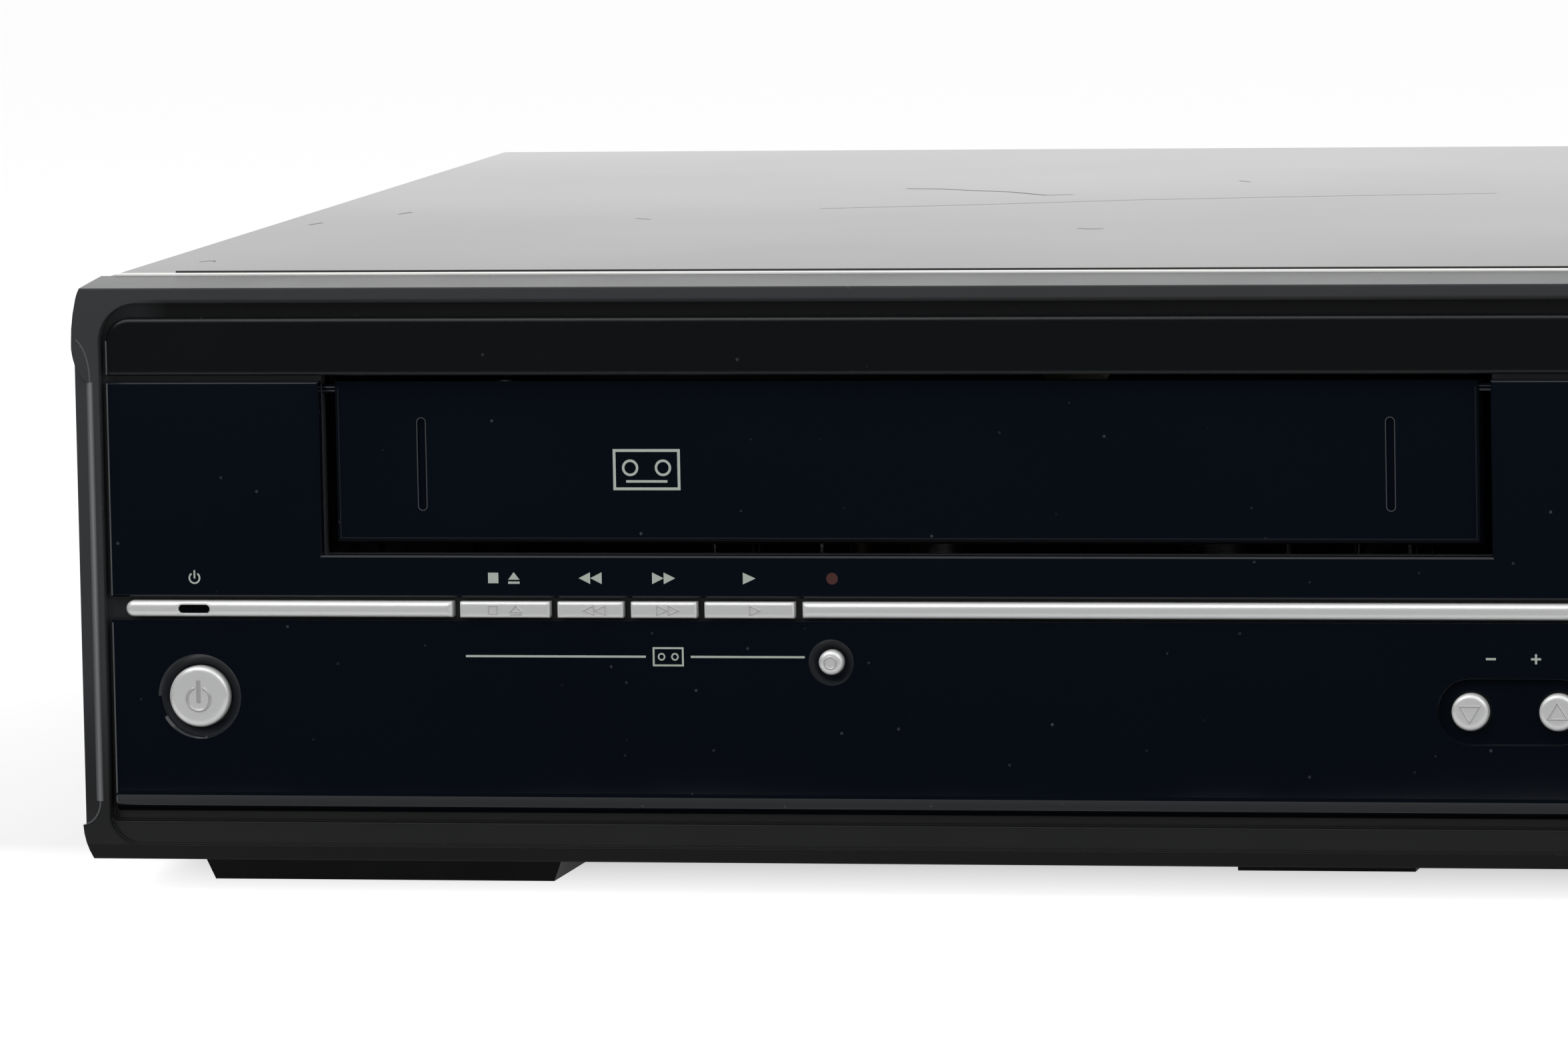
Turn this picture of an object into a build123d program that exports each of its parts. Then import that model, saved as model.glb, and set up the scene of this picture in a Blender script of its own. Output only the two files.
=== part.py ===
from build123d import *
import os
from math import acos, cos, pi, radians, sin, tan

os.makedirs("parts", exist_ok=True)

# A disc and cassette player, in millimetres. X runs left to right as seen from the front,
# the front faces -Y, and Z = 0 is the shelf that the feet stand on.

# Overall size
width = 435.0
depth = 308.0

# Fits and sheet gauges
joint_gap = 0.3  # between pieces that meet without touching
slide_gap = 0.3  # round a button or a tray that slides
shaft_gap = 0.05  # radial play of a shaft in its bore
steel = 1.2  # deck and rail plates
cover_sheet = 0.8
board_sheet = 1.6

# Front moulding
bezel_bottom = 6.0
bezel_rise = 1.1  # from the front edge up to the cover
bezel_depth = 11.5
bezel_wall = 2.4  # the rim above the window too
foot_rim = 2.3
side_rim = 4.5
recess_corner = 6.5
recess_foot_corner = 5.0
ledge_height = 3.7  # below the panels
rail_setback = 1.2
side_chamfer = 3.0
chamfer_depth = 2.0
chamfer_foot = 1.7  # from the foot of the panels up to the chamfer
chamfer_runout = 3.8  # height of the curve at its foot
chamfer_rise = 7.2  # and at its head
shoulder_inset = 2.3  # the outline's top corners stand in by this much
shoulder_lean = 0.9
shoulder_drop = 2.8
shoulder_reach = 10.2
foot_lean = 1.7  # and its bottom corners by this much
foot_reach = 5.9

# Panels on the moulding
panel_gap = 1.0  # beside the panels and between them
panel_setback = 0.8
panel_thickness = 2.2
panel_corner = 4.0
back_wall = 3.0
foot_gap = 1.6
lower_height = 31.5
lower_roll = 3.4  # height of the curve that rolls the lower panel back
bar_gap = 0.5
bar_height = 2.6
bar_shadow = 0.6  # the open line above the bar
main_height = 35.0
strip_height = 9.4
strip_gap = 2.5

# Cassette mouth and its flap
deck_x = -81.325  # middle of the cassette mouth and its deck
mouth_width = 190.75
mouth_sill = 6.8
flap_left_gap = 1.7
flap_right_gap = 1.75
flap_foot_gap = 1.6
flap_setback = 3.4
flap_thickness = 2.2
flap_bevel = 1.6
flap_pin_drop = 1.2
flap_pin_radius = 0.8
flap_pin_reach = 1.5
flap_groove_width = 1.4
flap_groove_height = 15.0
flap_groove_depth = 0.5
flap_groove_inset = 14.7
flap_groove_rise = 13.0

# Disc tray mouth
tray_center = 108.0
tray_mouth_width = 144.4
tray_sill = 2.8  # above the display
fascia_gap = 0.7
fascia_thickness = 3.6

# Silver bar and its buttons
bar_round = 0.9
bar_inset = 3.5  # inside the end of the window
left_bar_length = 54.4
key_gap = 1.3
stop_key_width = 14.8
search_key_width = 10.8
play_key_width = 14.7
led_inset = 11.45
led_width = 5.3
led_height = 1.4

# Button guides
key_travel = 0.6
stem_height = 1.6
stem_width = 6.0
stem_radius = 1.3
head_thickness = 1.0
head_overlap = 0.8

# Round buttons
power_inset = 14.4  # from the end of the panel
power_rise = 18.95  # above the foot of the panel
power_radius = 5.0
power_dish_radius = 6.9
record_x = -93.0
record_drop = 6.64  # below the top of the panel
record_radius = 2.03
record_dish_radius = 3.7
programme_x = 10.2
programme_rise = 17.3
programme_pitch = 14.0
programme_radius = 3.0
programme_dish_height = 10.6
dish_depth = 1.2

# Display and front sockets
display_width = 112.0
display_height = 11.6
display_margin = 6.0  # board beyond the display, both ends together
display_rim = 4.0
display_sill = 2.8
pocket_inset = 44.0  # from the end of the panel
pocket_rise = 12.0
pocket_width = 56.0
pocket_height = 17.0
pocket_corner = 3.0
pocket_depth = 9.5
socket_pitch = 17.0

# Top cover
cover_inset = 2.5
cover_bend = 1.6
cover_bottom = 7.0
cover_flange = 8.0
bead_inset = 28.0
bead_setback = 2.6
bead_width = 0.8
bead_depth = 0.3

# Chassis tub
tub_bottom = 6.2
tub_floor = 2.0
tub_side = 2.0
tub_side_height = 12.0
foot_lead = 8.0
foot_length = 62.0
foot_depth = 34.0
foot_inset = 11.7
foot_taper = 2.5
pad_center = -15.0
pad_width = 28.8
pad_height = 0.8

# Rear
rear_sheet = 1.0
jack_reach = 8.8
sleeve_radius = 4.15
sleeve_bore = 3.4
sleeve_cup = 0.8
contact_radius = 1.6
collar_radius = 6.0
collar_height = 1.5
rear_jack_pitch = 18.0
rear_jack_left = 20.0
rear_jack_low = 36.0
rear_jack_rise = 24.0
scart_center = -46.0
scart_width = 47.0
scart_height = 14.0
scart_low = 34.0
scart_rise = 26.0
scart_reach = 6.5
shroud_wall = 1.5
shroud_channel = 1.3
aerial_x = -104.0
aerial_radius = 4.6
inlet_inset = 27.0
inlet_z = 40.0
inlet_width = 20.0
inlet_height = 12.0
inlet_pin_pitch = 8.6

shell_depth = 10.0

# Boards
board_height = 15.0
board_margin = 6.0
board_depth = 48.0  # between the pillars
board_rear_gap = 11.2
power_board_width = 152.0
power_board_inset = 17.9
main_board_width = 204.0
main_board_inset = 15.9
front_board_setback = 15.4
front_board_bottom = 16.0
front_board_rise = 3.2  # above the silver bar
switch_side = 6.0
switch_height = 3.5
switch_button = 0.8

# Cassette deck
cassette_width = 188.0
cassette_height = 25.0
cassette_play = 0.5
basket_sheet = 1.0
basket_setback = 32.0
basket_depth = 100.0
basket_lift = 1.9  # above the sill of the mouth
basket_travel_in = 20.0
basket_travel_down = 24.0
basket_ledge = 16.0
basket_pin_radius = 2.0
slider_gap = 1.2
deck_z = 22.0
deck_front_setback = 20.0
deck_rear_setback = 226.0
deck_post_radius = 5.0
rail_rise = 8.5  # above the basket's floor
mouth_strip = 13.0
reel_shaft_height = 17.0
arm_height = 14.0
arm_thickness = 2.0
capstan_tube = 12.0
reel_pitch = 92.0
reel_setback = 109.0
reel_radius = 20.0
reel_shaft_radius = 1.5
drum_offset = -3.675  # from the middle of the deck
drum_setback = 192.0
drum_radius = 31.0
drum_tilt = 6.0
drum_lower = 19.0
drum_upper = 15.0
drum_split = 0.5
capstan_offset = 59.325
capstan_setback = 176.0
capstan_radius = 1.6
flywheel_radius = 22.0
flywheel_thickness = 4.0
pinch_pivot_offset = 85.325
pinch_pivot_setback = 194.0
pinch_radius = 7.0
pinch_height = 16.0
guide_travel = 24.0
guide_lead = 30.0  # of the guides in front of the drum
guide_spread = 39.0
guide_radius = 3.2
guide_height = 20.0

# Disc loader
loader_half = 70.0
loader_front_setback = 13.6
loader_rear_setback = 198.0
loader_drop = 19.0  # below the tray
loader_wall = 2.0
tray_half = 65.0
tray_rear_setback = 186.0
tray_lift = 5.0  # above the lower edge of its mouth
tray_thickness = 8.0
disc_setback = 74.0  # centre of the disc behind the front
disc_recess_radius = 60.8
disc_recess_depth = 2.6
small_recess_radius = 40.5
small_recess_depth = 1.2
tray_slot_half = 18.0
gear_module = 1.0
gear_teeth = 20
tray_steps = 45  # rack teeth that pass from closed to open
tooth_play = 0.3
tooth_height = 0.75
gear_setback = 36.0
rack_inset = 6.0
rack_depth = 5.0
gear_height = 4.0
traverse_half = 32.0
traverse_drop = 14.0
traverse_thickness = 3.0
traverse_pivot_setback = 150.0
traverse_front_setback = 50.0
turntable_radius = 15.0
seat_rise = 5.6  # above the underside of the tray
cone_radius = 7.4
cone_height = 1.8
gear_drop = 0.6  # between the gear and the tray above it
pickup_travel = 34.0
pickup_width = 30.0
pickup_depth = 24.0
pickup_rod_pitch = 44.0
pickup_rod_radius = 1.5
bridge_sheet = 2.0
bridge_depth = 36.0
clamp_neck = 9.0
clamp_flange = 13.0

# Places that follow from the sizes above
front = -depth / 2
rear = depth / 2
half = width / 2
recess_half = half - side_rim
panel_half = recess_half - panel_gap
cover_half = half - cover_inset
recess_bottom = bezel_bottom + foot_rim
rail_top = recess_bottom + ledge_height
lower_bottom = rail_top + foot_gap
lower_top = lower_bottom + lower_height
bar_bottom = lower_top + bar_gap
bar_top = bar_bottom + bar_height
main_bottom = bar_top + bar_shadow
main_top = main_bottom + main_height
strip_bottom = main_top + panel_gap
strip_top = strip_bottom + strip_height
recess_top = strip_top + strip_gap
bezel_top = recess_top + bezel_wall
height = bezel_top + bezel_rise
chamfer_low = lower_bottom + chamfer_foot
chamfer_high = main_top
wall_front = panel_setback + panel_thickness
wall_back = wall_front + back_wall
mouth_left = deck_x - mouth_width / 2
mouth_right = deck_x + mouth_width / 2
mouth_bottom = main_bottom + mouth_sill
mouth_top = strip_bottom - joint_gap / 2
flap_left = mouth_left + flap_left_gap
flap_right = mouth_right - flap_right_gap
flap_bottom = mouth_bottom + flap_foot_gap
flap_top = main_top - 0.2
bar_end = recess_half - bar_inset
bar_left_end = -bar_end + left_bar_length
led_center = -bar_end + led_inset
power_x = -panel_half + power_inset
power_z = lower_bottom + power_rise
record_z = lower_top - record_drop
programme_z = lower_bottom + programme_rise
pocket_center = panel_half - pocket_inset
pocket_z = lower_bottom + pocket_rise
display_left = tray_center - display_width / 2
display_right = tray_center + display_width / 2
display_bottom = main_bottom + display_sill
display_top = display_bottom + display_height
tray_mouth_bottom = display_top + tray_sill
tray_bottom = tray_mouth_bottom + tray_lift
loader_floor = tray_bottom - loader_drop
traverse_bottom = tray_bottom - traverse_drop
turntable_seat = tray_bottom + seat_rise
basket_floor = mouth_bottom + basket_lift
rail_height = basket_floor + rail_rise
front_board_top = bar_top + front_board_rise
bead_half = cover_half - bead_inset
reel_y = front + reel_setback
drum_x = deck_x + drum_offset
drum_y = front + drum_setback
capstan_x = deck_x + capstan_offset
capstan_y = front + capstan_setback
pinch_pivot_x = deck_x + pinch_pivot_offset
pinch_pivot_y = front + pinch_pivot_setback
deck_rear = front + deck_rear_setback
loader_rear = front + loader_rear_setback
tray_rear = front + tray_rear_setback
traverse_pivot_y = front + traverse_pivot_setback
foot_outer = cover_half - foot_inset
inlet_x = -cover_half + inlet_inset
basket_outer = cassette_width / 2 + cassette_play + basket_sheet
rear_face = rear - jack_reach
cover_rear = rear_face + cover_sheet
tub_rear = rear_face - rear_sheet
tub_front = front + bezel_depth + joint_gap
tub_half = cover_half - cover_sheet - joint_gap
tub_top = tub_bottom + tub_floor
stem_end = front_board_setback - switch_height - switch_button - key_travel - 0.1
key_back = wall_front - key_travel - 0.2
bar_key_z = (bar_bottom + bar_top) / 2
gear_low = tray_bottom - gear_drop - gear_height
traverse_pivot_z = traverse_bottom + traverse_thickness / 2
ear_top = traverse_pivot_z + 4.0


def facing(setback):
    """A sketch plane that faces the front, at a distance behind the front face."""
    return Plane.XZ.offset(-front - setback)


def rear_facing(y):
    """A sketch plane that faces the back, with its x to the right as seen from the front."""
    return Plane(origin=(0, y, 0), x_dir=(1, 0, 0), z_dir=(0, -1, 0))


def finish(piece, name):
    """Label a finished piece and write its file."""
    piece.label = name
    export_step(piece, "parts/" + name + ".step")


# Buttons: where each one stands. Cassette keys follow the left bar, disc keys end at the right bar.
bar_keys = {}
key_edge = bar_left_end + key_gap
for key_name, key_width in (
    ("stop_eject_button", stop_key_width),
    ("rewind_button", search_key_width),
    ("fast_forward_button", search_key_width),
    ("play_button", play_key_width),
):
    bar_keys[key_name] = (key_edge, key_edge + key_width)
    key_edge += key_width + key_gap
bar_middle_left = key_edge
key_edge = -bar_left_end - key_gap
for key_name, key_width in (
    ("disc_open_button", stop_key_width),
    ("disc_stop_button", search_key_width),
    ("disc_play_button", play_key_width),
):
    bar_keys[key_name] = (key_edge - key_width, key_edge)
    key_edge -= key_width + key_gap
bar_middle_right = key_edge
round_keys = {
    "power_button": (power_x, power_z, power_radius),
    "record_button": (record_x, record_z, record_radius),
    "programme_down_button": (programme_x, programme_z, programme_radius),
    "programme_up_button": (programme_x + programme_pitch, programme_z, programme_radius),
}


# Front moulding: a deep ring with a chamfer down each side, and a back wall that holds the panels.
with BuildPart() as front_bezel:
    with BuildSketch(facing(0)):
        with BuildLine():
            side_line = Line((half, bezel_bottom + foot_reach), (half, height - shoulder_reach))
            shoulder = TangentArc(
                side_line @ 1,
                (half - shoulder_lean, height - shoulder_drop),
                tangent=(0, 1),
            )
            corner = TangentArc(
                shoulder @ 1,
                (half - shoulder_inset, height),
                tangent=shoulder % 1,
            )
            Line(corner @ 1, (0, height))
            foot_curve = TangentArc(
                side_line @ 0,
                (half - foot_lean, bezel_bottom),
                tangent=(0, -1),
            )
            Line(foot_curve @ 1, (0, bezel_bottom))
            mirror(about=Plane.YZ)
        make_face()
    extrude(amount=-bezel_depth)
    # the top slopes up to the cover
    with BuildSketch(Plane.YZ):
        with BuildLine():
            Polyline(
                (front - 1, bezel_top - (height - bezel_top) / bezel_depth),
                (front + bezel_depth, height),
                (front + bezel_depth, height + 1),
                (front - 1, height + 1),
                close=True,
            )
        make_face()
    extrude(amount=width, both=True, mode=Mode.SUBTRACT)
    # shallow window, then the deep one above the ledge
    for low, setback, foot_radius in (
        (recess_bottom, rail_setback, recess_foot_corner),
        (rail_top, wall_front, 1.0),
    ):
        with BuildSketch(facing(0)) as window:
            with Locations((0, (low + recess_top) / 2)):
                Rectangle(2 * recess_half, recess_top - low)
            fillet(window.vertices().group_by(Axis.Y)[-1], recess_corner)
            fillet(window.vertices().group_by(Axis.Y)[0], foot_radius)
        extrude(amount=-setback, mode=Mode.SUBTRACT)
    # hollow behind the wall
    with BuildSketch(facing(bezel_depth)):
        with Locations((0, (bezel_bottom + height) / 2)):
            Rectangle(
                2 * (half - shoulder_inset - bezel_wall),
                height - bezel_bottom - 2 * bezel_wall,
            )
    extrude(amount=bezel_depth - wall_back, mode=Mode.SUBTRACT)
    # chamfer down each side, curving out to the edge at its ends
    ridge = half - side_chamfer
    past_side = half + joint_gap / 3
    with BuildPart(mode=Mode.SUBTRACT):
        with BuildSketch(facing(0)):
            with BuildLine():
                Line((ridge, chamfer_low), (ridge, chamfer_high))
                EllipticalCenterArc(
                    (ridge, chamfer_high + chamfer_rise),
                    past_side - ridge,
                    chamfer_rise,
                    start_angle=270,
                    arc_size=90,
                )
                Polyline(
                    (past_side, chamfer_high + chamfer_rise),
                    (half + side_chamfer, chamfer_high + chamfer_rise),
                    (half + side_chamfer, chamfer_low - chamfer_runout),
                    (past_side, chamfer_low - chamfer_runout),
                )
                EllipticalCenterArc(
                    (past_side, chamfer_low),
                    past_side - ridge,
                    chamfer_runout,
                    start_angle=180,
                    arc_size=90,
                )
            make_face()
        extrude(amount=-2 * chamfer_depth)
        # kept to the wedge in front of the chamfer's slope
        with BuildSketch(Plane.XY):
            with BuildLine():
                Polyline(
                    (ridge, front),
                    (half + side_chamfer, front),
                    (half + side_chamfer, front + 2 * chamfer_depth),
                    close=True,
                )
            make_face()
        extrude(amount=height, mode=Mode.INTERSECT)
        mirror(about=Plane.YZ)
    # cassette mouth and tray mouth
    with BuildSketch(facing(0)):
        with Locations((deck_x, (mouth_bottom + mouth_top) / 2)):
            Rectangle(mouth_right - mouth_left, mouth_top - mouth_bottom)
        with Locations((tray_center, (tray_mouth_bottom + mouth_top) / 2)):
            Rectangle(tray_mouth_width, mouth_top - tray_mouth_bottom)
        # window for the display, and the pocket of the front sockets
        with Locations(((display_left + display_right) / 2, (display_bottom + display_top) / 2)):
            Rectangle(
                display_right - display_left - 4 * joint_gap,
                display_top - display_bottom - 4 * joint_gap,
            )
        with Locations((pocket_center, pocket_z)):
            RectangleRounded(pocket_width, pocket_height, pocket_corner)
        # slots and holes for the button stems
        for low, high in bar_keys.values():
            with Locations(((low + high) / 2, bar_key_z)):
                Rectangle(stem_width + 2 * slide_gap, stem_height + 2 * slide_gap)
        for x, z, radius in round_keys.values():
            with Locations((x, z)):
                Circle(stem_radius + slide_gap)
        # hole for the standby light
        with Locations((led_center, (bar_bottom + bar_top) / 2)):
            Rectangle(led_width - 2 * joint_gap, led_height)
    extrude(amount=-bezel_depth, mode=Mode.SUBTRACT)
    # blind holes for the flap's pins, in the mouth's side walls
    pin_reach = flap_pin_reach + 2 * shaft_gap
    for x, outwards in ((mouth_left, -1), (mouth_right, 1)):
        hinge_plane = Plane(
            origin=(x, front + flap_setback + flap_thickness / 2, flap_top - flap_pin_drop),
            z_dir=(outwards, 0, 0),
        )
        with BuildSketch(hinge_plane):
            Circle(flap_pin_radius + shaft_gap)
        extrude(amount=pin_reach + 0.3, mode=Mode.SUBTRACT)
finish(front_bezel.part, "front_bezel")

# Upper strip: a satin bar across the top of the window.
with BuildPart() as upper_strip:
    with BuildSketch(facing(wall_front)) as strip_face:
        with Locations((0, (strip_bottom + strip_top) / 2)):
            Rectangle(2 * panel_half, strip_top - strip_bottom)
        fillet(strip_face.vertices().group_by(Axis.Y)[-1], panel_corner)
    extrude(amount=panel_thickness)
    chamfer(upper_strip.faces().sort_by(Axis.Y)[0].edges(), 0.4)
finish(upper_strip.part, "upper_strip")

# Main panel: glossy, notched from above for the cassette mouth and the disc tray.
with BuildPart() as main_panel:
    with BuildSketch(facing(wall_front)):
        with Locations((0, (main_bottom + main_top) / 2)):
            Rectangle(2 * panel_half, main_top - main_bottom)
        with Locations((deck_x, mouth_bottom + (mouth_top - mouth_bottom) / 2)):
            Rectangle(mouth_right - mouth_left, mouth_top - mouth_bottom, mode=Mode.SUBTRACT)
        with Locations((tray_center, (tray_mouth_bottom + mouth_top) / 2)):
            Rectangle(tray_mouth_width, mouth_top - tray_mouth_bottom, mode=Mode.SUBTRACT)
        with Locations(((display_left + display_right) / 2, (display_bottom + display_top) / 2)):
            Rectangle(display_right - display_left, display_top - display_bottom, mode=Mode.SUBTRACT)
    extrude(amount=panel_thickness)
    chamfer(main_panel.faces().sort_by(Axis.Y)[0].edges(), 0.3)
finish(main_panel.part, "main_panel")

# Display window: a dark pane let into the main panel.
with BuildPart() as display_window:
    with BuildSketch(facing(wall_front)):
        with Locations(((display_left + display_right) / 2, (display_bottom + display_top) / 2)):
            Rectangle(display_right - display_left - 0.2, display_top - display_bottom - 0.2)
    extrude(amount=panel_thickness)
    chamfer(display_window.faces().sort_by(Axis.Y)[0].edges(), 0.25)
finish(display_window.part, "display_window")

# Lower panel: glossy, its foot rolls back, with dished holes for the round buttons.
with BuildPart() as lower_panel:
    with BuildSketch(Plane.YZ):
        with BuildLine():
            Polyline(
                (front + panel_setback, lower_bottom + lower_roll),
                (front + panel_setback, lower_top),
                (front + wall_front, lower_top),
                (front + wall_front, lower_bottom),
                (front + wall_front - 0.3, lower_bottom),
            )
            ThreePointArc(
                (front + wall_front - 0.3, lower_bottom),
                (
                    front + wall_front - 0.3 - (panel_thickness - 0.3) * sin(radians(45)),
                    lower_bottom + lower_roll * (1 - cos(radians(45))),
                ),
                (front + panel_setback, lower_bottom + lower_roll),
            )
        make_face()
    extrude(amount=panel_half, both=True)
    with BuildSketch(facing(0)):
        for x, z, radius in round_keys.values():
            with Locations((x, z)):
                Circle(radius + slide_gap)
        with Locations((pocket_center, pocket_z)):
            RectangleRounded(pocket_width, pocket_height, pocket_corner)
    extrude(amount=-depth / 4, mode=Mode.SUBTRACT)
    # dished surrounds, wide at the face and closing on the button
    for x, z, outer, inner in (
        (power_x, power_z, power_dish_radius, power_radius + slide_gap),
        (record_x, record_z, record_dish_radius, record_radius + slide_gap),
    ):
        with BuildSketch(facing(panel_setback)):
            with Locations((x, z)):
                Circle(outer)
        with BuildSketch(facing(panel_setback + dish_depth)):
            with Locations((x, z)):
                Circle(inner + 0.1)
        loft(mode=Mode.SUBTRACT)
    with BuildSketch(facing(panel_setback)):
        with Locations((programme_x + programme_pitch / 2, programme_z)):
            SlotCenterToCenter(programme_pitch, programme_dish_height)
    extrude(amount=-dish_depth, mode=Mode.SUBTRACT)
finish(lower_panel.part, "lower_panel")

# Silver bars: a round-nosed strip in the groove, in three lengths between the keys.
with BuildPart() as trim_bars:
    for low, high in (
        (-bar_end, bar_left_end),
        (bar_middle_left, bar_middle_right),
        (-bar_left_end, bar_end),
    ):
        with BuildSketch(facing(wall_front)):
            with Locations(((low + high) / 2, bar_key_z)):
                Rectangle(high - low, bar_top - bar_bottom)
        extrude(amount=wall_front)
    outer_ends = trim_bars.edges().filter_by(Axis.Y).group_by(Axis.X)
    fillet(outer_ends[0] + outer_ends[-1], (bar_top - bar_bottom) / 2 - 0.05)
    nose = trim_bars.faces().filter_by(Axis.Y).group_by(Axis.Y)[0].edges()
    fillet(nose, bar_round)
    # window for the standby light
    with BuildSketch(facing(0)):
        with Locations((led_center, bar_key_z)):
            SlotOverall(led_width, led_height)
    extrude(amount=-wall_front, mode=Mode.SUBTRACT)
finish(trim_bars.part, "trim_bars")

# Standby light window: a smoked lens in the left bar, with a light pipe through the wall.
with BuildPart() as standby_window:
    with BuildSketch(facing(0.5)):
        with Locations((led_center, bar_key_z)):
            SlotOverall(led_width - 0.1, led_height - 0.1)
    extrude(amount=-(wall_front - 0.5))
    with BuildSketch(facing(wall_front)):
        with Locations((led_center, bar_key_z)):
            Rectangle(led_width - 3 * joint_gap, led_height - joint_gap)
    extrude(amount=-(front_board_setback - wall_front - joint_gap))
finish(standby_window.part, "standby_window")


# Keys of the silver bar: each has a round-nosed cap, a flat stem and a head behind the wall.
for key_name, (low, high) in bar_keys.items():
    with BuildPart() as key:
        with BuildSketch(facing(key_back)):
            with Locations(((low + high) / 2, bar_key_z)):
                Rectangle(high - low, bar_top - bar_bottom)
        extrude(amount=key_back)
        fillet(key.faces().sort_by(Axis.Y)[0].edges(), bar_round / 2)
        with BuildSketch(facing(key_back)):
            with Locations(((low + high) / 2, bar_key_z)):
                Rectangle(stem_width, stem_height)
        extrude(amount=-(stem_end - key_back))
        with BuildSketch(facing(wall_back + joint_gap)):
            with Locations(((low + high) / 2, bar_key_z)):
                Rectangle(stem_width, stem_height + 2 * head_overlap)
        extrude(amount=-head_thickness)
    finish(key.part, key_name)

# Round buttons: a domed cap in its dish, a round stem and a head behind the wall.
for key_name, (x, z, radius) in round_keys.items():
    with BuildPart() as key:
        with BuildSketch(facing(key_back)):
            with Locations((x, z)):
                Circle(radius)
        extrude(amount=key_back)
        fillet(key.faces().sort_by(Axis.Y)[0].edges(), bar_round)
        with BuildSketch(facing(key_back)):
            with Locations((x, z)):
                Circle(stem_radius)
        extrude(amount=-(stem_end - key_back))
        with BuildSketch(facing(wall_back + joint_gap)):
            with Locations((x, z)):
                Circle(stem_radius + head_overlap)
        extrude(amount=-head_thickness)
    finish(key.part, key_name)

# Cassette flap: a bevelled door on two pins, with two finger grooves.
flap_pin_setback = flap_setback + flap_thickness / 2
with BuildPart() as cassette_flap:
    with BuildSketch(facing(flap_setback + flap_thickness)):
        with Locations(((flap_left + flap_right) / 2, (flap_bottom + flap_top) / 2)):
            Rectangle(flap_right - flap_left, flap_top - flap_bottom)
    extrude(amount=flap_thickness)
    face = cassette_flap.faces().sort_by(Axis.Y)[0]
    lower_edges = face.edges().sort_by(Axis.Z)[:3]
    chamfer(lower_edges, flap_thickness / 4, flap_bevel, reference=face)
    with BuildSketch(facing(flap_setback)):
        for x in (flap_left + flap_groove_inset, flap_right - flap_groove_inset):
            with Locations((x, flap_bottom + flap_groove_rise)):
                SlotOverall(flap_groove_height, flap_groove_width, rotation=90)
    extrude(amount=-flap_groove_depth, mode=Mode.SUBTRACT)
    for x, outwards, edge in ((flap_left, -1, mouth_left), (flap_right, 1, mouth_right)):
        pin_plane = Plane(
            origin=(x - outwards, front + flap_pin_setback, flap_top - flap_pin_drop),
            z_dir=(outwards, 0, 0),
        )
        with BuildSketch(pin_plane):
            Circle(flap_pin_radius)
        extrude(amount=1 + abs(edge - x) + flap_pin_reach)
finish(cassette_flap.part, "cassette_flap")

# Chassis tub: a black moulding with side walls, vents, and pillars for the boards and the decks.
board_rear = rear_face - board_rear_gap
board_front = board_rear - board_depth
board_posts = [
    (x, y)
    for x in (
        -tub_half + power_board_inset,
        -tub_half + power_board_inset + power_board_width,
        tub_half - main_board_inset - main_board_width,
        tub_half - main_board_inset,
    )
    for y in (board_front, board_rear)
]
deck_half = basket_outer + slider_gap + steel + joint_gap + 1.0 + steel + 2.0
deck_front = front + deck_front_setback
deck_posts = [
    (deck_x + side * (deck_half - 8), y)
    for side in (-1, 1)
    for y in (deck_front + 8, deck_rear - 8)
]
loader_posts = [
    (tray_center + side * (loader_half - 8), y)
    for side in (-1, 1)
    for y in (front + loader_front_setback + 12, loader_rear - 8)
]
with BuildPart() as chassis_base:
    with BuildSketch(Plane.XY.offset(tub_bottom)):
        with Locations((0, (tub_front + tub_rear) / 2)):
            Rectangle(2 * tub_half, tub_rear - tub_front)
    extrude(amount=tub_side_height)
    with BuildSketch(Plane.XY.offset(tub_top)):
        with Locations((0, (tub_front + tub_rear) / 2)):
            Rectangle(2 * (tub_half - tub_side), tub_rear - tub_front + 1)
    extrude(amount=tub_side_height, mode=Mode.SUBTRACT)
    # pillars of the boards, the cassette deck and the disc loader
    for places, radius, top in (
        (board_posts, 3.5, board_height),
        (deck_posts, deck_post_radius, deck_z),
        (loader_posts, deck_post_radius, loader_floor),
    ):
        with BuildSketch(Plane.XY.offset(tub_top)):
            with Locations(*places):
                Circle(radius)
        extrude(amount=top - tub_top)
    # air slots under the boards
    with BuildSketch(Plane.XY.offset(tub_bottom)):
        with Locations((-120.0, board_rear - 24.0), (100.0, board_rear - 24.0)):
            with GridLocations(9.0, 0, 10, 1):
                SlotOverall(28.0, 3.0, rotation=90)
    extrude(amount=tub_floor, mode=Mode.SUBTRACT)
    # holes for the cover's side screws
    screw_holes = [(side, y) for side in (-1, 1) for y in (front + 60.0, rear_face - 30.0)]
    screw_z = tub_bottom + tub_side_height / 2
    for side, y in screw_holes:
        with BuildSketch(Plane(origin=(side * tub_half, y, screw_z), z_dir=(side, 0, 0))):
            Circle(1.5 + shaft_gap)
        extrude(amount=-tub_side, mode=Mode.SUBTRACT)
finish(chassis_base.part, "chassis_base")

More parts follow.
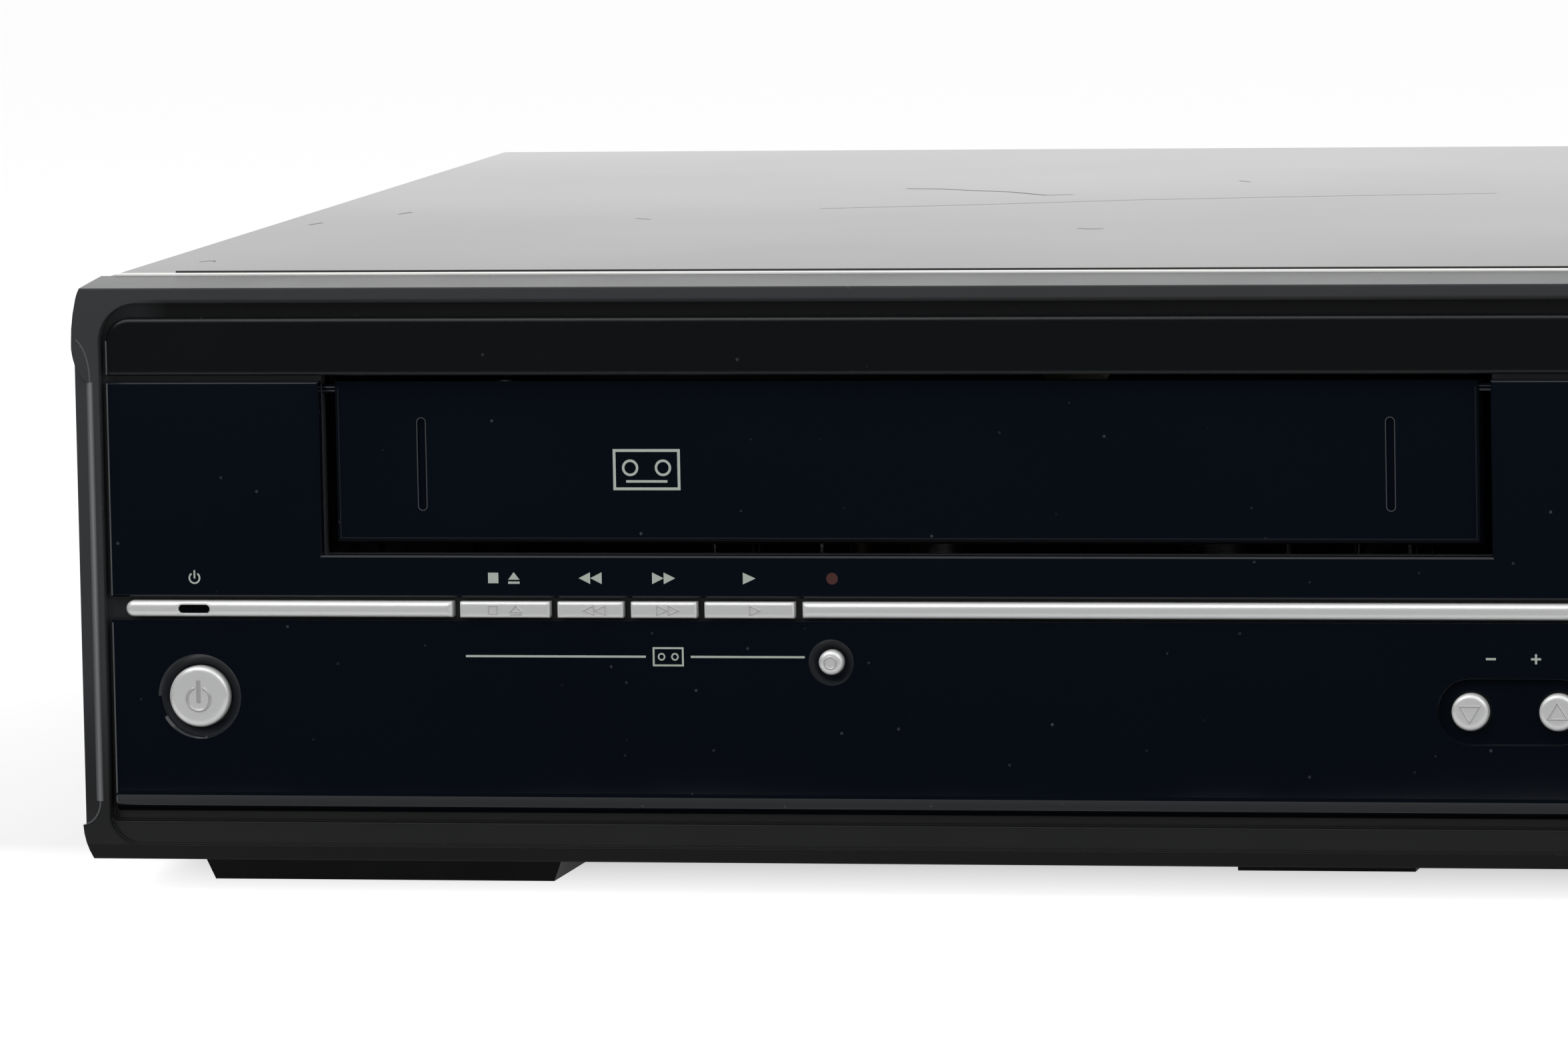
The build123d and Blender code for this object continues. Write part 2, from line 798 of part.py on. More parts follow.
# Feet: two long ones under the front corners, a thin pad between, two short ones at the rear.
with BuildPart() as feet:
    for side in (-1, 1):
        foot_center = side * (foot_outer - foot_length / 2)
        with BuildSketch(Plane.XY.offset(tub_bottom)):
            with Locations((foot_center, front + foot_lead + bezel_depth + foot_depth / 2)):
                Rectangle(foot_length, foot_depth)
        with BuildSketch(Plane.XY):
            with Locations((foot_center, front + foot_lead + bezel_depth + foot_depth / 2)):
                Rectangle(foot_length - 2 * foot_taper, foot_depth - foot_taper)
        loft()
        with BuildSketch(Plane.XY.offset(tub_bottom)):
            with Locations((side * (foot_outer - 16), rear_face - 30)):
                Circle(11.0)
        with BuildSketch(Plane.XY):
            with Locations((side * (foot_outer - 16), rear_face - 30)):
                Circle(9.5)
        loft()
    with BuildSketch(Plane.XY.offset(tub_bottom)):
        with Locations((pad_center, tub_front + 8.0)):
            Rectangle(pad_width, 14.0)
    extrude(amount=-(tub_bottom - bezel_bottom + pad_height))
finish(feet.part, "feet")

# Top cover: one sheet folded over the top and both sides, with a bead behind its front hem,
# a flange down the rear, and air slots in the sides.
with BuildPart() as top_cover:
    with BuildSketch(facing(bezel_depth + joint_gap)) as cover_shape:
        with Locations((0, (cover_bottom + height) / 2)):
            Rectangle(2 * cover_half, height - cover_bottom)
        fillet(cover_shape.vertices().group_by(Axis.Y)[-1], cover_bend)
    extrude(amount=-(cover_rear - front - bezel_depth - joint_gap))
    with BuildSketch(facing(bezel_depth)) as cover_inside:
        with Locations((0, (cover_bottom - cover_sheet + height - cover_sheet) / 2)):
            Rectangle(2 * (cover_half - cover_sheet), height - cover_bottom)
        fillet(cover_inside.vertices().group_by(Axis.Y)[-1], cover_bend - cover_sheet)
    extrude(amount=-(cover_rear - cover_sheet - front - bezel_depth), mode=Mode.SUBTRACT)
    with BuildSketch(rear_facing(cover_rear)):
        with Locations((0, (height - cover_flange + cover_bottom - 1) / 2)):
            Rectangle(2 * (cover_half - cover_sheet), height - cover_flange - cover_bottom + 1)
    extrude(amount=cover_sheet * 2, mode=Mode.SUBTRACT)
    # pressed bead behind the front hem
    with BuildSketch(Plane.XY.offset(height)):
        with Locations((0, front + bezel_depth + joint_gap + bead_setback)):
            SlotOverall(2 * bead_half, bead_width)
    extrude(amount=-bead_depth, mode=Mode.SUBTRACT)
    # air slots, low down and behind the middle of each side
    with BuildSketch(Plane.YZ):
        with Locations((rear_face - 75.2, (tub_top + height) / 2 - 2.2)):
            with GridLocations(8.0, 0, 12, 1):
                SlotOverall(34.0, 2.6, rotation=90)
    extrude(amount=width, both=True, mode=Mode.SUBTRACT)
    # holes for the side screws and the rear screws
    for side, y in screw_holes:
        with BuildSketch(Plane(origin=(side * cover_half, y, screw_z), z_dir=(side, 0, 0))):
            Circle(1.5 + shaft_gap)
        extrude(amount=-cover_sheet, mode=Mode.SUBTRACT)
    rear_screws = [(x, height - cover_flange / 2) for x in (-150.0, 0.0, 150.0)]
    with BuildSketch(rear_facing(cover_rear)):
        with Locations(*rear_screws):
            Circle(1.5 + shaft_gap)
    extrude(amount=-cover_sheet, both=True, mode=Mode.SUBTRACT)
finish(top_cover.part, "top_cover")

# Cover screws: round heads on the sheet, shanks into the tub and the rear panel.
screw_head_radius = 3.6
screw_head_height = 1.8
screw_shank = 3.5
with BuildPart() as cover_screws:
    screw_planes = [
        Plane(origin=(side * cover_half, y, screw_z), z_dir=(side, 0, 0))
        for side, y in screw_holes
    ]
    screw_planes += [Plane(origin=(x, cover_rear, z), z_dir=(0, 1, 0)) for x, z in rear_screws]
    for screw_plane in screw_planes:
        with BuildSketch(screw_plane):
            Circle(screw_head_radius)
        with BuildSketch(screw_plane.offset(screw_head_height)):
            Circle(screw_head_radius - 0.8)
        loft()
        with BuildSketch(screw_plane):
            Circle(1.5)
        extrude(amount=-screw_shank)
        with BuildSketch(screw_plane.offset(screw_head_height)):
            Rectangle(3.6, 0.8)
            Rectangle(0.8, 3.6)
        extrude(amount=-0.9, mode=Mode.SUBTRACT)
finish(cover_screws.part, "cover_screws")

# Rear panel: a sheet with cut-outs for the sockets and a field of air slots.
rear_panel_top = height - cover_sheet - joint_gap
rear_jacks = {
    "yellow": [(rear_jack_left, rear_jack_low + row * rear_jack_rise) for row in (0, 1)],
    "white": [
        (rear_jack_left + rear_jack_pitch, rear_jack_low + row * rear_jack_rise)
        for row in (0, 1)
    ],
    "red": [
        (rear_jack_left + 2 * rear_jack_pitch, rear_jack_low + row * rear_jack_rise)
        for row in (0, 1)
    ],
}
front_jacks = {
    "yellow": (pocket_center - socket_pitch, pocket_z),
    "white": (pocket_center, pocket_z),
    "red": (pocket_center + socket_pitch, pocket_z),
}
scarts = [(scart_center, scart_low + row * scart_rise) for row in (0, 1)]
aerials = [(aerial_x, scart_low), (aerial_x, scart_low + scart_rise)]
with BuildPart() as rear_panel:
    with BuildSketch(rear_facing(rear_face)):
        with Locations((0, (tub_bottom + rear_panel_top) / 2)):
            Rectangle(2 * tub_half, rear_panel_top - tub_bottom)
        with Locations((inlet_x, inlet_z)):
            Rectangle(inlet_width, inlet_height, mode=Mode.SUBTRACT)
        with Locations(*scarts):
            Rectangle(scart_width, scart_height, mode=Mode.SUBTRACT)
        with Locations(*aerials):
            Circle(aerial_radius + shaft_gap, mode=Mode.SUBTRACT)
        for places in rear_jacks.values():
            with Locations(*places):
                Circle(sleeve_radius + shaft_gap, mode=Mode.SUBTRACT)
        with Locations((140, 56)):
            with GridLocations(8.0, 0, 12, 1):
                SlotOverall(36.0, 3.0, rotation=90, mode=Mode.SUBTRACT)
        with Locations(*rear_screws):
            Circle(1.5 + shaft_gap, mode=Mode.SUBTRACT)
    extrude(amount=rear_sheet)
finish(rear_panel.part, "rear_panel")

# Socket blocks: black mouldings that hold the jacks, with two wide shrouded sockets at the rear.
block_front = front_board_setback - joint_gap
with BuildPart() as socket_blocks:
    with BuildSketch(facing(pocket_depth)):
        with Locations((pocket_center, pocket_z)):
            Rectangle(pocket_width + 4, pocket_height + 4)
    extrude(amount=-(block_front - pocket_depth))
    with BuildSketch(facing(pocket_depth)):
        for x, z in front_jacks.values():
            with Locations((x, z)):
                Circle(sleeve_radius + shaft_gap)
    extrude(amount=-(block_front - pocket_depth), mode=Mode.SUBTRACT)
    # each wide socket is a shroud round its contact block, with a channel for the plug's shell
    shroud_mouth = rear_facing(rear_face + scart_reach)
    shroud_length = scart_reach + rear_sheet + shell_depth
    for x, z in scarts:
        with BuildSketch(shroud_mouth):
            with Locations((x, z)):
                Rectangle(scart_width - 2 * shaft_gap, scart_height - 2 * shaft_gap)
        extrude(amount=shroud_length)
        with BuildSketch(shroud_mouth):
            with Locations((x, z)):
                Rectangle(
                    scart_width - 2 * shroud_wall,
                    scart_height - 2 * shroud_wall,
                )
                Rectangle(
                    scart_width - 2 * shroud_wall - 2 * shroud_channel,
                    scart_height - 2 * shroud_wall - 2 * shroud_channel,
                    mode=Mode.SUBTRACT,
                )
        extrude(amount=scart_reach + 4.0, mode=Mode.SUBTRACT)
        # contact block stands back a little and has a slot across it
        with BuildSketch(shroud_mouth):
            with Locations((x, z)):
                Rectangle(scart_width - 2 * shroud_wall, scart_height - 2 * shroud_wall)
        extrude(amount=1.0, mode=Mode.SUBTRACT)
        with BuildSketch(shroud_mouth.offset(1.0)):
            with Locations((x, z)):
                Rectangle(scart_width - 12.0, 1.4)
        extrude(amount=5.0, mode=Mode.SUBTRACT)
    # block behind the rear jacks
    with BuildSketch(rear_facing(tub_rear)):
        with Locations((rear_jack_left + rear_jack_pitch, rear_jack_low + rear_jack_rise / 2)):
            Rectangle(3 * rear_jack_pitch, 2 * rear_jack_rise)
        for places in rear_jacks.values():
            with Locations(*places):
                Circle(sleeve_radius + shaft_gap, mode=Mode.SUBTRACT)
    extrude(amount=shell_depth)
finish(socket_blocks.part, "socket_blocks")

# Jack sleeves: turned metal cups of the phono jacks, and the threaded aerial sockets.
with BuildPart() as jack_sleeves:
    for x, z in front_jacks.values():
        with BuildSketch(facing(panel_setback)):
            with Locations((x, z)):
                Circle(sleeve_radius)
        extrude(amount=-(block_front - panel_setback))
        for radius, drop in ((sleeve_bore, sleeve_cup), (contact_radius, jack_reach)):
            with BuildSketch(facing(panel_setback)):
                with Locations((x, z)):
                    Circle(radius)
            extrude(amount=-drop, mode=Mode.SUBTRACT)
    rear_tip = rear_facing(rear)
    for places in rear_jacks.values():
        with BuildSketch(rear_tip):
            with Locations(*places):
                Circle(sleeve_radius)
        extrude(amount=jack_reach + rear_sheet + shell_depth)
        for radius, drop in ((sleeve_bore, sleeve_cup), (contact_radius, jack_reach)):
            with BuildSketch(rear_tip):
                with Locations(*places):
                    Circle(radius)
            extrude(amount=drop, mode=Mode.SUBTRACT)
    for x, z in aerials:
        with BuildSketch(rear_facing(rear)):
            with Locations((x, z)):
                Circle(aerial_radius)
        extrude(amount=jack_reach + rear_sheet)
        with BuildSketch(rear_facing(tub_rear)):
            with Locations((x, z)):
                RegularPolygon(aerial_radius + 2.5, 6)
        extrude(amount=4.0)
        with BuildSketch(rear_facing(rear)):
            with Locations((x, z)):
                Circle(1.2)
        extrude(amount=jack_reach, mode=Mode.SUBTRACT)
finish(jack_sleeves.part, "jack_sleeves")

# Coloured collars round the phono jacks, one node for each colour.
for colour in ("yellow", "white", "red"):
    with BuildPart() as collars:
        with BuildSketch(facing(pocket_depth)):
            with Locations(front_jacks[colour]):
                Circle(collar_radius)
                Circle(sleeve_radius + shaft_gap, mode=Mode.SUBTRACT)
        extrude(amount=collar_height)
        for x, z in rear_jacks[colour]:
            with BuildSketch(rear_facing(rear_face + collar_height)):
                with Locations((x, z)):
                    Circle(collar_radius)
                    Circle(sleeve_radius + shaft_gap, mode=Mode.SUBTRACT)
            extrude(amount=collar_height)
    finish(collars.part, colour + "_jack_collars")

# Mains inlet: a moulded two-pin socket with a flange on the rear panel.
with BuildPart() as mains_inlet:
    with BuildSketch(rear_facing(rear_face + 1.5)):
        with Locations((inlet_x, inlet_z)):
            RectangleRounded(inlet_width + 6, inlet_height + 4, 2.0)
    extrude(amount=1.5)
    with BuildSketch(rear_facing(rear_face)):
        with Locations((inlet_x, inlet_z)):
            Rectangle(inlet_width - 2 * shaft_gap, inlet_height - 2 * shaft_gap)
    extrude(amount=16.0)
    with BuildSketch(rear_facing(rear_face + 1.5)):
        with Locations((inlet_x, inlet_z)):
            SlotOverall(15.0, 8.6)
            with Locations((-inlet_pin_pitch / 2, 0), (inlet_pin_pitch / 2, 0)):
                Circle(1.2, mode=Mode.SUBTRACT)
    extrude(amount=12.0, mode=Mode.SUBTRACT)
finish(mains_inlet.part, "mains_inlet")

# Power board on its pillars: a laminate with one large and three small capacitors standing on it.
board_top = board_height + board_sheet
with BuildPart() as power_board:
    power_low, power_high = board_posts[0], board_posts[3]
    with BuildSketch(Plane.XY.offset(board_height)):
        with Locations(
            ((power_low[0] + power_high[0]) / 2, (power_low[1] + power_high[1]) / 2)
        ):
            Rectangle(
                power_high[0] - power_low[0] + 2 * board_margin,
                power_high[1] - power_low[1] + 2 * board_margin,
            )
    extrude(amount=board_sheet)
    for along, across, radius, tall in (
        (28.0, 26.0, 12.5, 30.0),
        (104.0, 12.0, 6.0, 20.0),
        (104.0, 28.0, 6.0, 20.0),
        (122.0, 20.0, 5.0, 16.0),
    ):
        with BuildSketch(Plane.XY.offset(board_top)):
            with Locations((power_low[0] + along, power_low[1] + across)):
                Circle(radius)
        extrude(amount=tall)
finish(power_board.part, "power_board")

# Transformer on the power board: a ferrite frame round a wound bobbin.
core_height = 26.0
core_x = power_low[0] + 68.0
core_y = power_low[1] + board_depth / 2
with BuildPart() as transformer:
    with BuildSketch(Plane.XY.offset(board_top)):
        with Locations((core_x, core_y)):
            Rectangle(30.0, 26.0)
    extrude(amount=core_height)
    with BuildSketch(Plane.XZ.offset(-core_y)):
        with Locations((core_x, board_top + core_height / 2)):
            Rectangle(20.0, 16.0)
    extrude(amount=20.0, both=True, mode=Mode.SUBTRACT)
    with BuildSketch(Plane.XY.offset(board_top)):
        with Locations((core_x, core_y)):
            RectangleRounded(20.0, 34.0, 4.0)
    extrude(amount=core_height - 5.0)
finish(transformer.part, "transformer")

# Main board on its pillars, with its large chips.
with BuildPart() as main_board:
    main_low, main_high = board_posts[4], board_posts[7]
    with BuildSketch(Plane.XY.offset(board_height)):
        with Locations(((main_low[0] + main_high[0]) / 2, (main_low[1] + main_high[1]) / 2)):
            Rectangle(
                main_high[0] - main_low[0] + 2 * board_margin,
                main_high[1] - main_low[1] + 2 * board_margin,
            )
    extrude(amount=board_sheet)
    for along, across, side in ((66.0, 24.0, 28.0), (118.0, 20.0, 20.0), (158.0, 26.0, 14.0)):
        with BuildSketch(Plane.XY.offset(board_top)):
            with Locations((main_low[0] + along, main_low[1] + across)):
                Rectangle(side, side)
        extrude(amount=1.8)
finish(main_board.part, "main_board")

# Front board: stands behind the keys, with one push switch for each of them.
with BuildPart() as front_board:
    with BuildSketch(facing(front_board_setback)):
        with Locations((0, (front_board_bottom + front_board_top) / 2)):
            Rectangle(2 * (panel_half - 6), front_board_top - front_board_bottom)
    extrude(amount=-board_sheet)
    switch_places = [((low + high) / 2, bar_key_z) for low, high in bar_keys.values()]
    switch_places += [(x, z) for x, z, radius in round_keys.values()]
    with BuildSketch(facing(front_board_setback)):
        with Locations(*switch_places):
            Rectangle(switch_side, switch_side)
    extrude(amount=switch_height)
    with BuildSketch(facing(front_board_setback - switch_height)):
        with Locations(*switch_places):
            Circle(1.7)
    extrude(amount=switch_button)
    # display: a flat glass tube in the hole of the moulding's wall, on a small board behind it
    display_plane = facing(wall_back + joint_gap)
    with BuildSketch(display_plane):
        with Locations((tray_center, display_bottom + display_height / 2)):
            Rectangle(display_width + display_margin, display_height + display_rim)
    extrude(amount=-board_sheet)
    with BuildSketch(display_plane):
        with Locations((tray_center, display_bottom + display_height / 2)):
            Rectangle(display_width - 6 * joint_gap, display_height - 6 * joint_gap)
    extrude(amount=back_wall)
    chamfer(front_board.faces().sort_by(Axis.Y)[0].edges(), 0.4)
finish(front_board.part, "front_board")

# Cassette deck plate: pressed steel with a boss for each shaft and slots for the tape guides.
reel_places = {
    "supply_reel": (deck_x - reel_pitch / 2, reel_y),
    "takeup_reel": (deck_x + reel_pitch / 2, reel_y),
}
deck_top = deck_z + steel
guide_start_y = drum_y - guide_lead
guide_starts = {
    "left_guide": (drum_x - guide_spread, guide_start_y),
    "right_guide": (drum_x + guide_spread, guide_start_y),
}
with BuildPart() as deck_plate:
    with BuildSketch(Plane.XY.offset(deck_z)):
        with Locations((deck_x, (deck_front + deck_rear) / 2)):
            RectangleRounded(2 * deck_half, deck_rear - deck_front, 4.0)
        # windows that lighten the plate under the cassette
        with Locations((deck_x, deck_front + 22), (deck_x, reel_y + 2)):
            RectangleRounded(30.0, 24.0, 3.0, mode=Mode.SUBTRACT)
        with Locations((capstan_x, capstan_y)):
            Circle(capstan_radius + 1.4, mode=Mode.SUBTRACT)
        for x, y in guide_starts.values():
            with Locations((x, y + guide_travel / 2)):
                SlotCenterToCenter(
                    guide_travel, 2 * (guide_radius + slide_gap), rotation=90, mode=Mode.SUBTRACT
                )
    extrude(amount=steel)
    # riveted shafts of the reels and of the pinch arm
    for x, y in reel_places.values():
        with BuildSketch(Plane.XY.offset(deck_top)):
            with Locations((x, y)):
                Circle(reel_shaft_radius)
        extrude(amount=reel_shaft_height)
    with BuildSketch(Plane.XY.offset(deck_top)):
        with Locations((pinch_pivot_x, pinch_pivot_y)):
            Circle(reel_shaft_radius)
    extrude(amount=arm_height + arm_thickness)
    # bearing tube of the capstan
    with BuildSketch(Plane.XY.offset(deck_z)):
        with Locations((capstan_x, capstan_y)):
            Circle(capstan_radius + 3.4)
            Circle(capstan_radius + shaft_gap, mode=Mode.SUBTRACT)
    extrude(amount=capstan_tube)
finish(deck_plate.part, "deck_plate")

# Basket rails: two upright plates with a foot flange and a straight guide slot each.
slider_inner = basket_outer + slider_gap
slider_outer = slider_inner + steel
rail_inner = slider_outer + 1.0
basket_front = front + basket_setback
rail_front = basket_front - 4.0
rail_rear = basket_front + basket_depth + basket_travel_in + 4.0
tongue_length = 12.0
tongue_height = 4.0
tongue_y = basket_front + basket_depth / 2
rail_slot_z = basket_floor + cassette_height / 2
with BuildPart() as basket_rails:
    for side in (-1, 1):
        plate = Plane(origin=(deck_x + side * rail_inner, 0, 0), x_dir=(0, 1, 0), z_dir=(side, 0, 0))
        flip = plate.x_dir.Y * plate.y_dir.Z
        with BuildSketch(plate):
            with Locations(((rail_front + rail_rear) / 2, flip * (deck_top + rail_height / 2))):
                Rectangle(rail_rear - rail_front, rail_height)
            with Locations((tongue_y + basket_travel_in / 2, flip * rail_slot_z)):
                Rectangle(
                    tongue_length + basket_travel_in + 2 * slide_gap,
                    tongue_height + 2 * slide_gap,
                    mode=Mode.SUBTRACT,
                )
        extrude(amount=steel)
        with BuildSketch(Plane.XY.offset(deck_top)):
            with Locations((deck_x + side * (rail_inner - 3.0), rail_front + 10.0)):
                Rectangle(6.0 + 2 * 0.01, 12.0)
        extrude(amount=steel)
finish(basket_rails.part, "basket_rails")

# Basket sliders: upright plates that run along the rails and let the basket sink.
slider_low = basket_floor - basket_travel_down - 2.0
slider_high = basket_floor + cassette_height
pin_z = basket_floor + 6.0
pin_places = [tongue_y - 34.0, tongue_y + 34.0]
with BuildPart() as basket_sliders:
    for side in (-1, 1):
        plate = Plane(origin=(deck_x + side * slider_inner, 0, 0), x_dir=(0, 1, 0), z_dir=(side, 0, 0))
        flip = plate.x_dir.Y * plate.y_dir.Z
        with BuildSketch(plate):
            with Locations((tongue_y, flip * (slider_low + slider_high) / 2)):
                Rectangle(basket_depth - 10, slider_high - slider_low)
            for y in pin_places:
                with Locations((y, flip * (pin_z - basket_travel_down / 2))):
                    SlotCenterToCenter(
                        basket_travel_down,
                        2 * (basket_pin_radius + slide_gap),
                        rotation=90,
                        mode=Mode.SUBTRACT,
                    )
        extrude(amount=steel)
        with BuildSketch(plate.offset(steel)):
            with Locations((tongue_y, flip * rail_slot_z)):
                Rectangle(tongue_length, tongue_height)
        extrude(amount=1.0 + steel)
finish(basket_sliders.part, "basket_sliders")

# Cassette basket: a folded sheet sleeve, open at both ends, with narrow ledges for a floor.
basket_inside = basket_outer - basket_sheet
basket_roof = basket_floor + cassette_height + 2 * cassette_play
with BuildPart() as cassette_basket:
    with BuildSketch(facing(basket_setback)):
        with Locations((deck_x, (basket_floor + basket_roof) / 2)):
            Rectangle(2 * basket_outer, basket_roof - basket_floor + 2 * basket_sheet)
            Rectangle(2 * basket_inside, basket_roof - basket_floor, mode=Mode.SUBTRACT)
    extrude(amount=-basket_depth)
    # the floor is cut away between the ledges, except for a strip at the mouth
    with BuildSketch(Plane.XY.offset(basket_floor - basket_sheet)):
        with Locations((deck_x, basket_front + mouth_strip + basket_depth / 2)):
            Rectangle(2 * (basket_inside - basket_ledge), basket_depth)
    extrude(amount=basket_sheet, mode=Mode.SUBTRACT)
    # the roof is cut away over the middle
    with BuildSketch(Plane.XY.offset(basket_roof)):
        with Locations((deck_x, basket_front + basket_depth / 2 + mouth_strip)):
            RectangleRounded(2 * (basket_inside - 30.0), basket_depth - 30.0, 6.0)
    extrude(amount=basket_sheet, mode=Mode.SUBTRACT)
    for side in (-1, 1):
        pin_plane = Plane(
            origin=(deck_x + side * basket_outer, 0, 0), x_dir=(0, 1, 0), z_dir=(side, 0, 0)
        )
        flip = pin_plane.x_dir.Y * pin_plane.y_dir.Z
        with BuildSketch(pin_plane):
            for y in pin_places:
                with Locations((y, flip * pin_z)):
                    Circle(basket_pin_radius)
        extrude(amount=slider_gap + steel)
finish(cassette_basket.part, "cassette_basket")

# Reel tables: a flange, a hub and a splined spindle that turn on a fixed shaft.
for reel_name, (x, y) in reel_places.items():
    with BuildPart() as reel:
        with BuildSketch(Plane(origin=(x, y, 0), x_dir=(1, 0, 0), z_dir=(0, -1, 0))):
            bore = reel_shaft_radius + shaft_gap
            low = deck_top + joint_gap
            with BuildLine():
                Polyline(
                    (bore, low),
                    (reel_radius, low),
                    (reel_radius, low + 3.0),
                    (12.0, low + 3.0),
                    (12.0, low + 5.0),
                    (4.4, low + 5.0),
                    (4.4, deck_top + reel_shaft_height - 2.0),
                    (3.0, deck_top + reel_shaft_height),
                    (bore, deck_top + reel_shaft_height),
                    close=True,
                )
            make_face()
        revolve(axis=Axis((x, y, 0), (0, 0, 1)))
        with BuildSketch(Plane.XY.offset(low + 5.0)):
            with Locations((x, y)):
                with PolarLocations(4.2, 3):
                    Rectangle(3.2, 1.4)
        extrude(amount=8.0)
    finish(reel.part, reel_name)

# Head drum: a fixed lower drum leaning back a little, and the rotor that turns on top of it.
drum_plane = Plane(
    origin=(drum_x, drum_y, deck_top),
    x_dir=(1, 0, 0),
    z_dir=(0, -sin(radians(drum_tilt)), cos(radians(drum_tilt))),
)
drum_lift = drum_radius * tan(radians(drum_tilt)) + 0.4
with BuildPart() as drum_base:
    with BuildSketch(drum_plane.offset(drum_lift)):
        Circle(drum_radius)
        Circle(1.6, mode=Mode.SUBTRACT)
    extrude(amount=drum_lower)
    # ledge that guides the tape round the drum
    with BuildSketch(drum_plane.offset(drum_lift + drum_lower - 9.0)):
        Circle(drum_radius + 1)
        Circle(drum_radius - 0.25, mode=Mode.SUBTRACT)
    extrude(amount=9.0, mode=Mode.SUBTRACT)
    # three screwed pads down to the deck plate
    with BuildSketch(Plane.XY.offset(deck_top)):
        with Locations((drum_x, drum_y)):
            with PolarLocations(drum_radius - 7.0, 3, start_angle=30):
                Circle(4.0)
    extrude(until=Until.NEXT)
finish(drum_base.part, "drum_base")
with BuildPart() as head_drum:
    rotor_low = drum_lift + drum_lower + drum_split
    with BuildSketch(drum_plane.offset(rotor_low)):
        Circle(drum_radius - 0.25)
    extrude(amount=drum_upper)
    chamfer(head_drum.faces().sort_by(Axis.Z)[-1].edges(), 0.8)
    with BuildSketch(drum_plane.offset(rotor_low + drum_upper)):
        Circle(drum_radius - 9.0)
        Circle(8.0, mode=Mode.SUBTRACT)
    extrude(amount=-2.0, mode=Mode.SUBTRACT)
    with BuildSketch(drum_plane.offset(rotor_low + drum_upper)):
        Circle(5.0)
    extrude(amount=3.0)
    # head windows at the lower rim
    with BuildSketch(drum_plane.offset(rotor_low)):
        with PolarLocations(drum_radius - 1.2, 6):
            Rectangle(3.0, 3.0)
    extrude(amount=2.0, mode=Mode.SUBTRACT)
    with BuildSketch(drum_plane.offset(rotor_low)):
        Circle(1.5)
    extrude(amount=-(drum_lower * 0.8))
finish(head_drum.part, "head_drum")

# Capstan: a polished shaft with its flywheel under the deck plate.
flywheel_top = deck_z - joint_gap
with BuildPart() as capstan:
    with BuildSketch(Plane.XY.offset(flywheel_top - flywheel_thickness)):
        with Locations((capstan_x, capstan_y)):
            Circle(flywheel_radius)
    extrude(amount=flywheel_thickness)
    chamfer(capstan.edges(), 0.6)
    with BuildSketch(Plane.XY.offset(flywheel_top)):
        with Locations((capstan_x, capstan_y)):
            Circle(capstan_radius)
    extrude(amount=joint_gap + arm_height + arm_thickness + pinch_height + steel)
finish(capstan.part, "capstan")

# Pinch arm: a lever on its riveted pin, with the pin of the rubber roller at its end.
pinch_gap = 3.0  # between roller and capstan with the arm drawn back
pinch_x = capstan_x + capstan_radius + pinch_radius + pinch_gap
pinch_y = capstan_y
arm_low = deck_top + arm_height
with BuildPart() as pinch_arm:
    with BuildSketch(Plane.XY.offset(arm_low)):
        with Locations((pinch_pivot_x, pinch_pivot_y), (pinch_x, pinch_y)):
            Circle(4.2)
        make_hull()
        with Locations((pinch_pivot_x, pinch_pivot_y)):
            Circle(reel_shaft_radius + shaft_gap, mode=Mode.SUBTRACT)
    extrude(amount=arm_thickness)
    with BuildSketch(Plane.XY.offset(arm_low + arm_thickness)):
        with Locations((pinch_x, pinch_y)):
            Circle(reel_shaft_radius)
    extrude(amount=pinch_height + 2 * joint_gap)
finish(pinch_arm.part, "pinch_arm")
with BuildPart() as pinch_roller:
    with BuildSketch(Plane.XY.offset(arm_low + arm_thickness + joint_gap)):
        with Locations((pinch_x, pinch_y)):
            Circle(pinch_radius)
            Circle(reel_shaft_radius + shaft_gap, mode=Mode.SUBTRACT)
    extrude(amount=pinch_height)
    chamfer(pinch_roller.edges().filter_by(GeomType.CIRCLE).sort_by(SortBy.RADIUS)[-2:], 0.5)
finish(pinch_roller.part, "pinch_roller")

# Tape guides: a shoe in its slot under a flanged roller post.
for guide_name, (x, y) in guide_starts.items():
    with BuildPart() as guide:
        with BuildSketch(Plane.XY.offset(deck_z)):
            with Locations((x, y)):
                Circle(guide_radius)
        extrude(amount=steel + joint_gap)
        with BuildSketch(Plane.XY.offset(deck_top + joint_gap)):
            with Locations((x, y)):
                RectangleRounded(12.0, 11.0, 2.0)
        extrude(amount=3.0)
        with BuildSketch(Plane.XY.offset(deck_top + joint_gap + 3.0)):
            with Locations((x, y)):
                Circle(guide_radius - 0.4)
        extrude(amount=guide_height)
        for lift in (2.0, guide_height - 2.0):
            with BuildSketch(Plane.XY.offset(deck_top + joint_gap + 3.0 + lift)):
                with Locations((x, y)):
                    Circle(guide_radius + 1.0)
            extrude(amount=1.2)
    finish(guide.part, guide_name)

# Fixed heads beside the drum: the full erase head and the audio and control head.
with BuildPart() as tape_heads:
    for x, y, wide in ((drum_x - 60.0, drum_y - 12.0, 9.0), (drum_x + 50.0, drum_y + 24.0, 11.0)):
        with BuildSketch(Plane.XY.offset(deck_top)):
            with Locations((x, y)):
                RectangleRounded(wide + 4, 12.0, 2.0)
        extrude(amount=2.0)
        with BuildSketch(Plane.XY.offset(deck_top + 2.0)):
            with Locations((x, y)):
                Circle(2.4)
        extrude(amount=8.0)
        with BuildSketch(Plane.XY.offset(deck_top + 10.0)):
            with Locations((x, y)):
                RectangleRounded(wide, 8.0, 2.5)
        extrude(amount=17.0)
finish(tape_heads.part, "tape_heads")

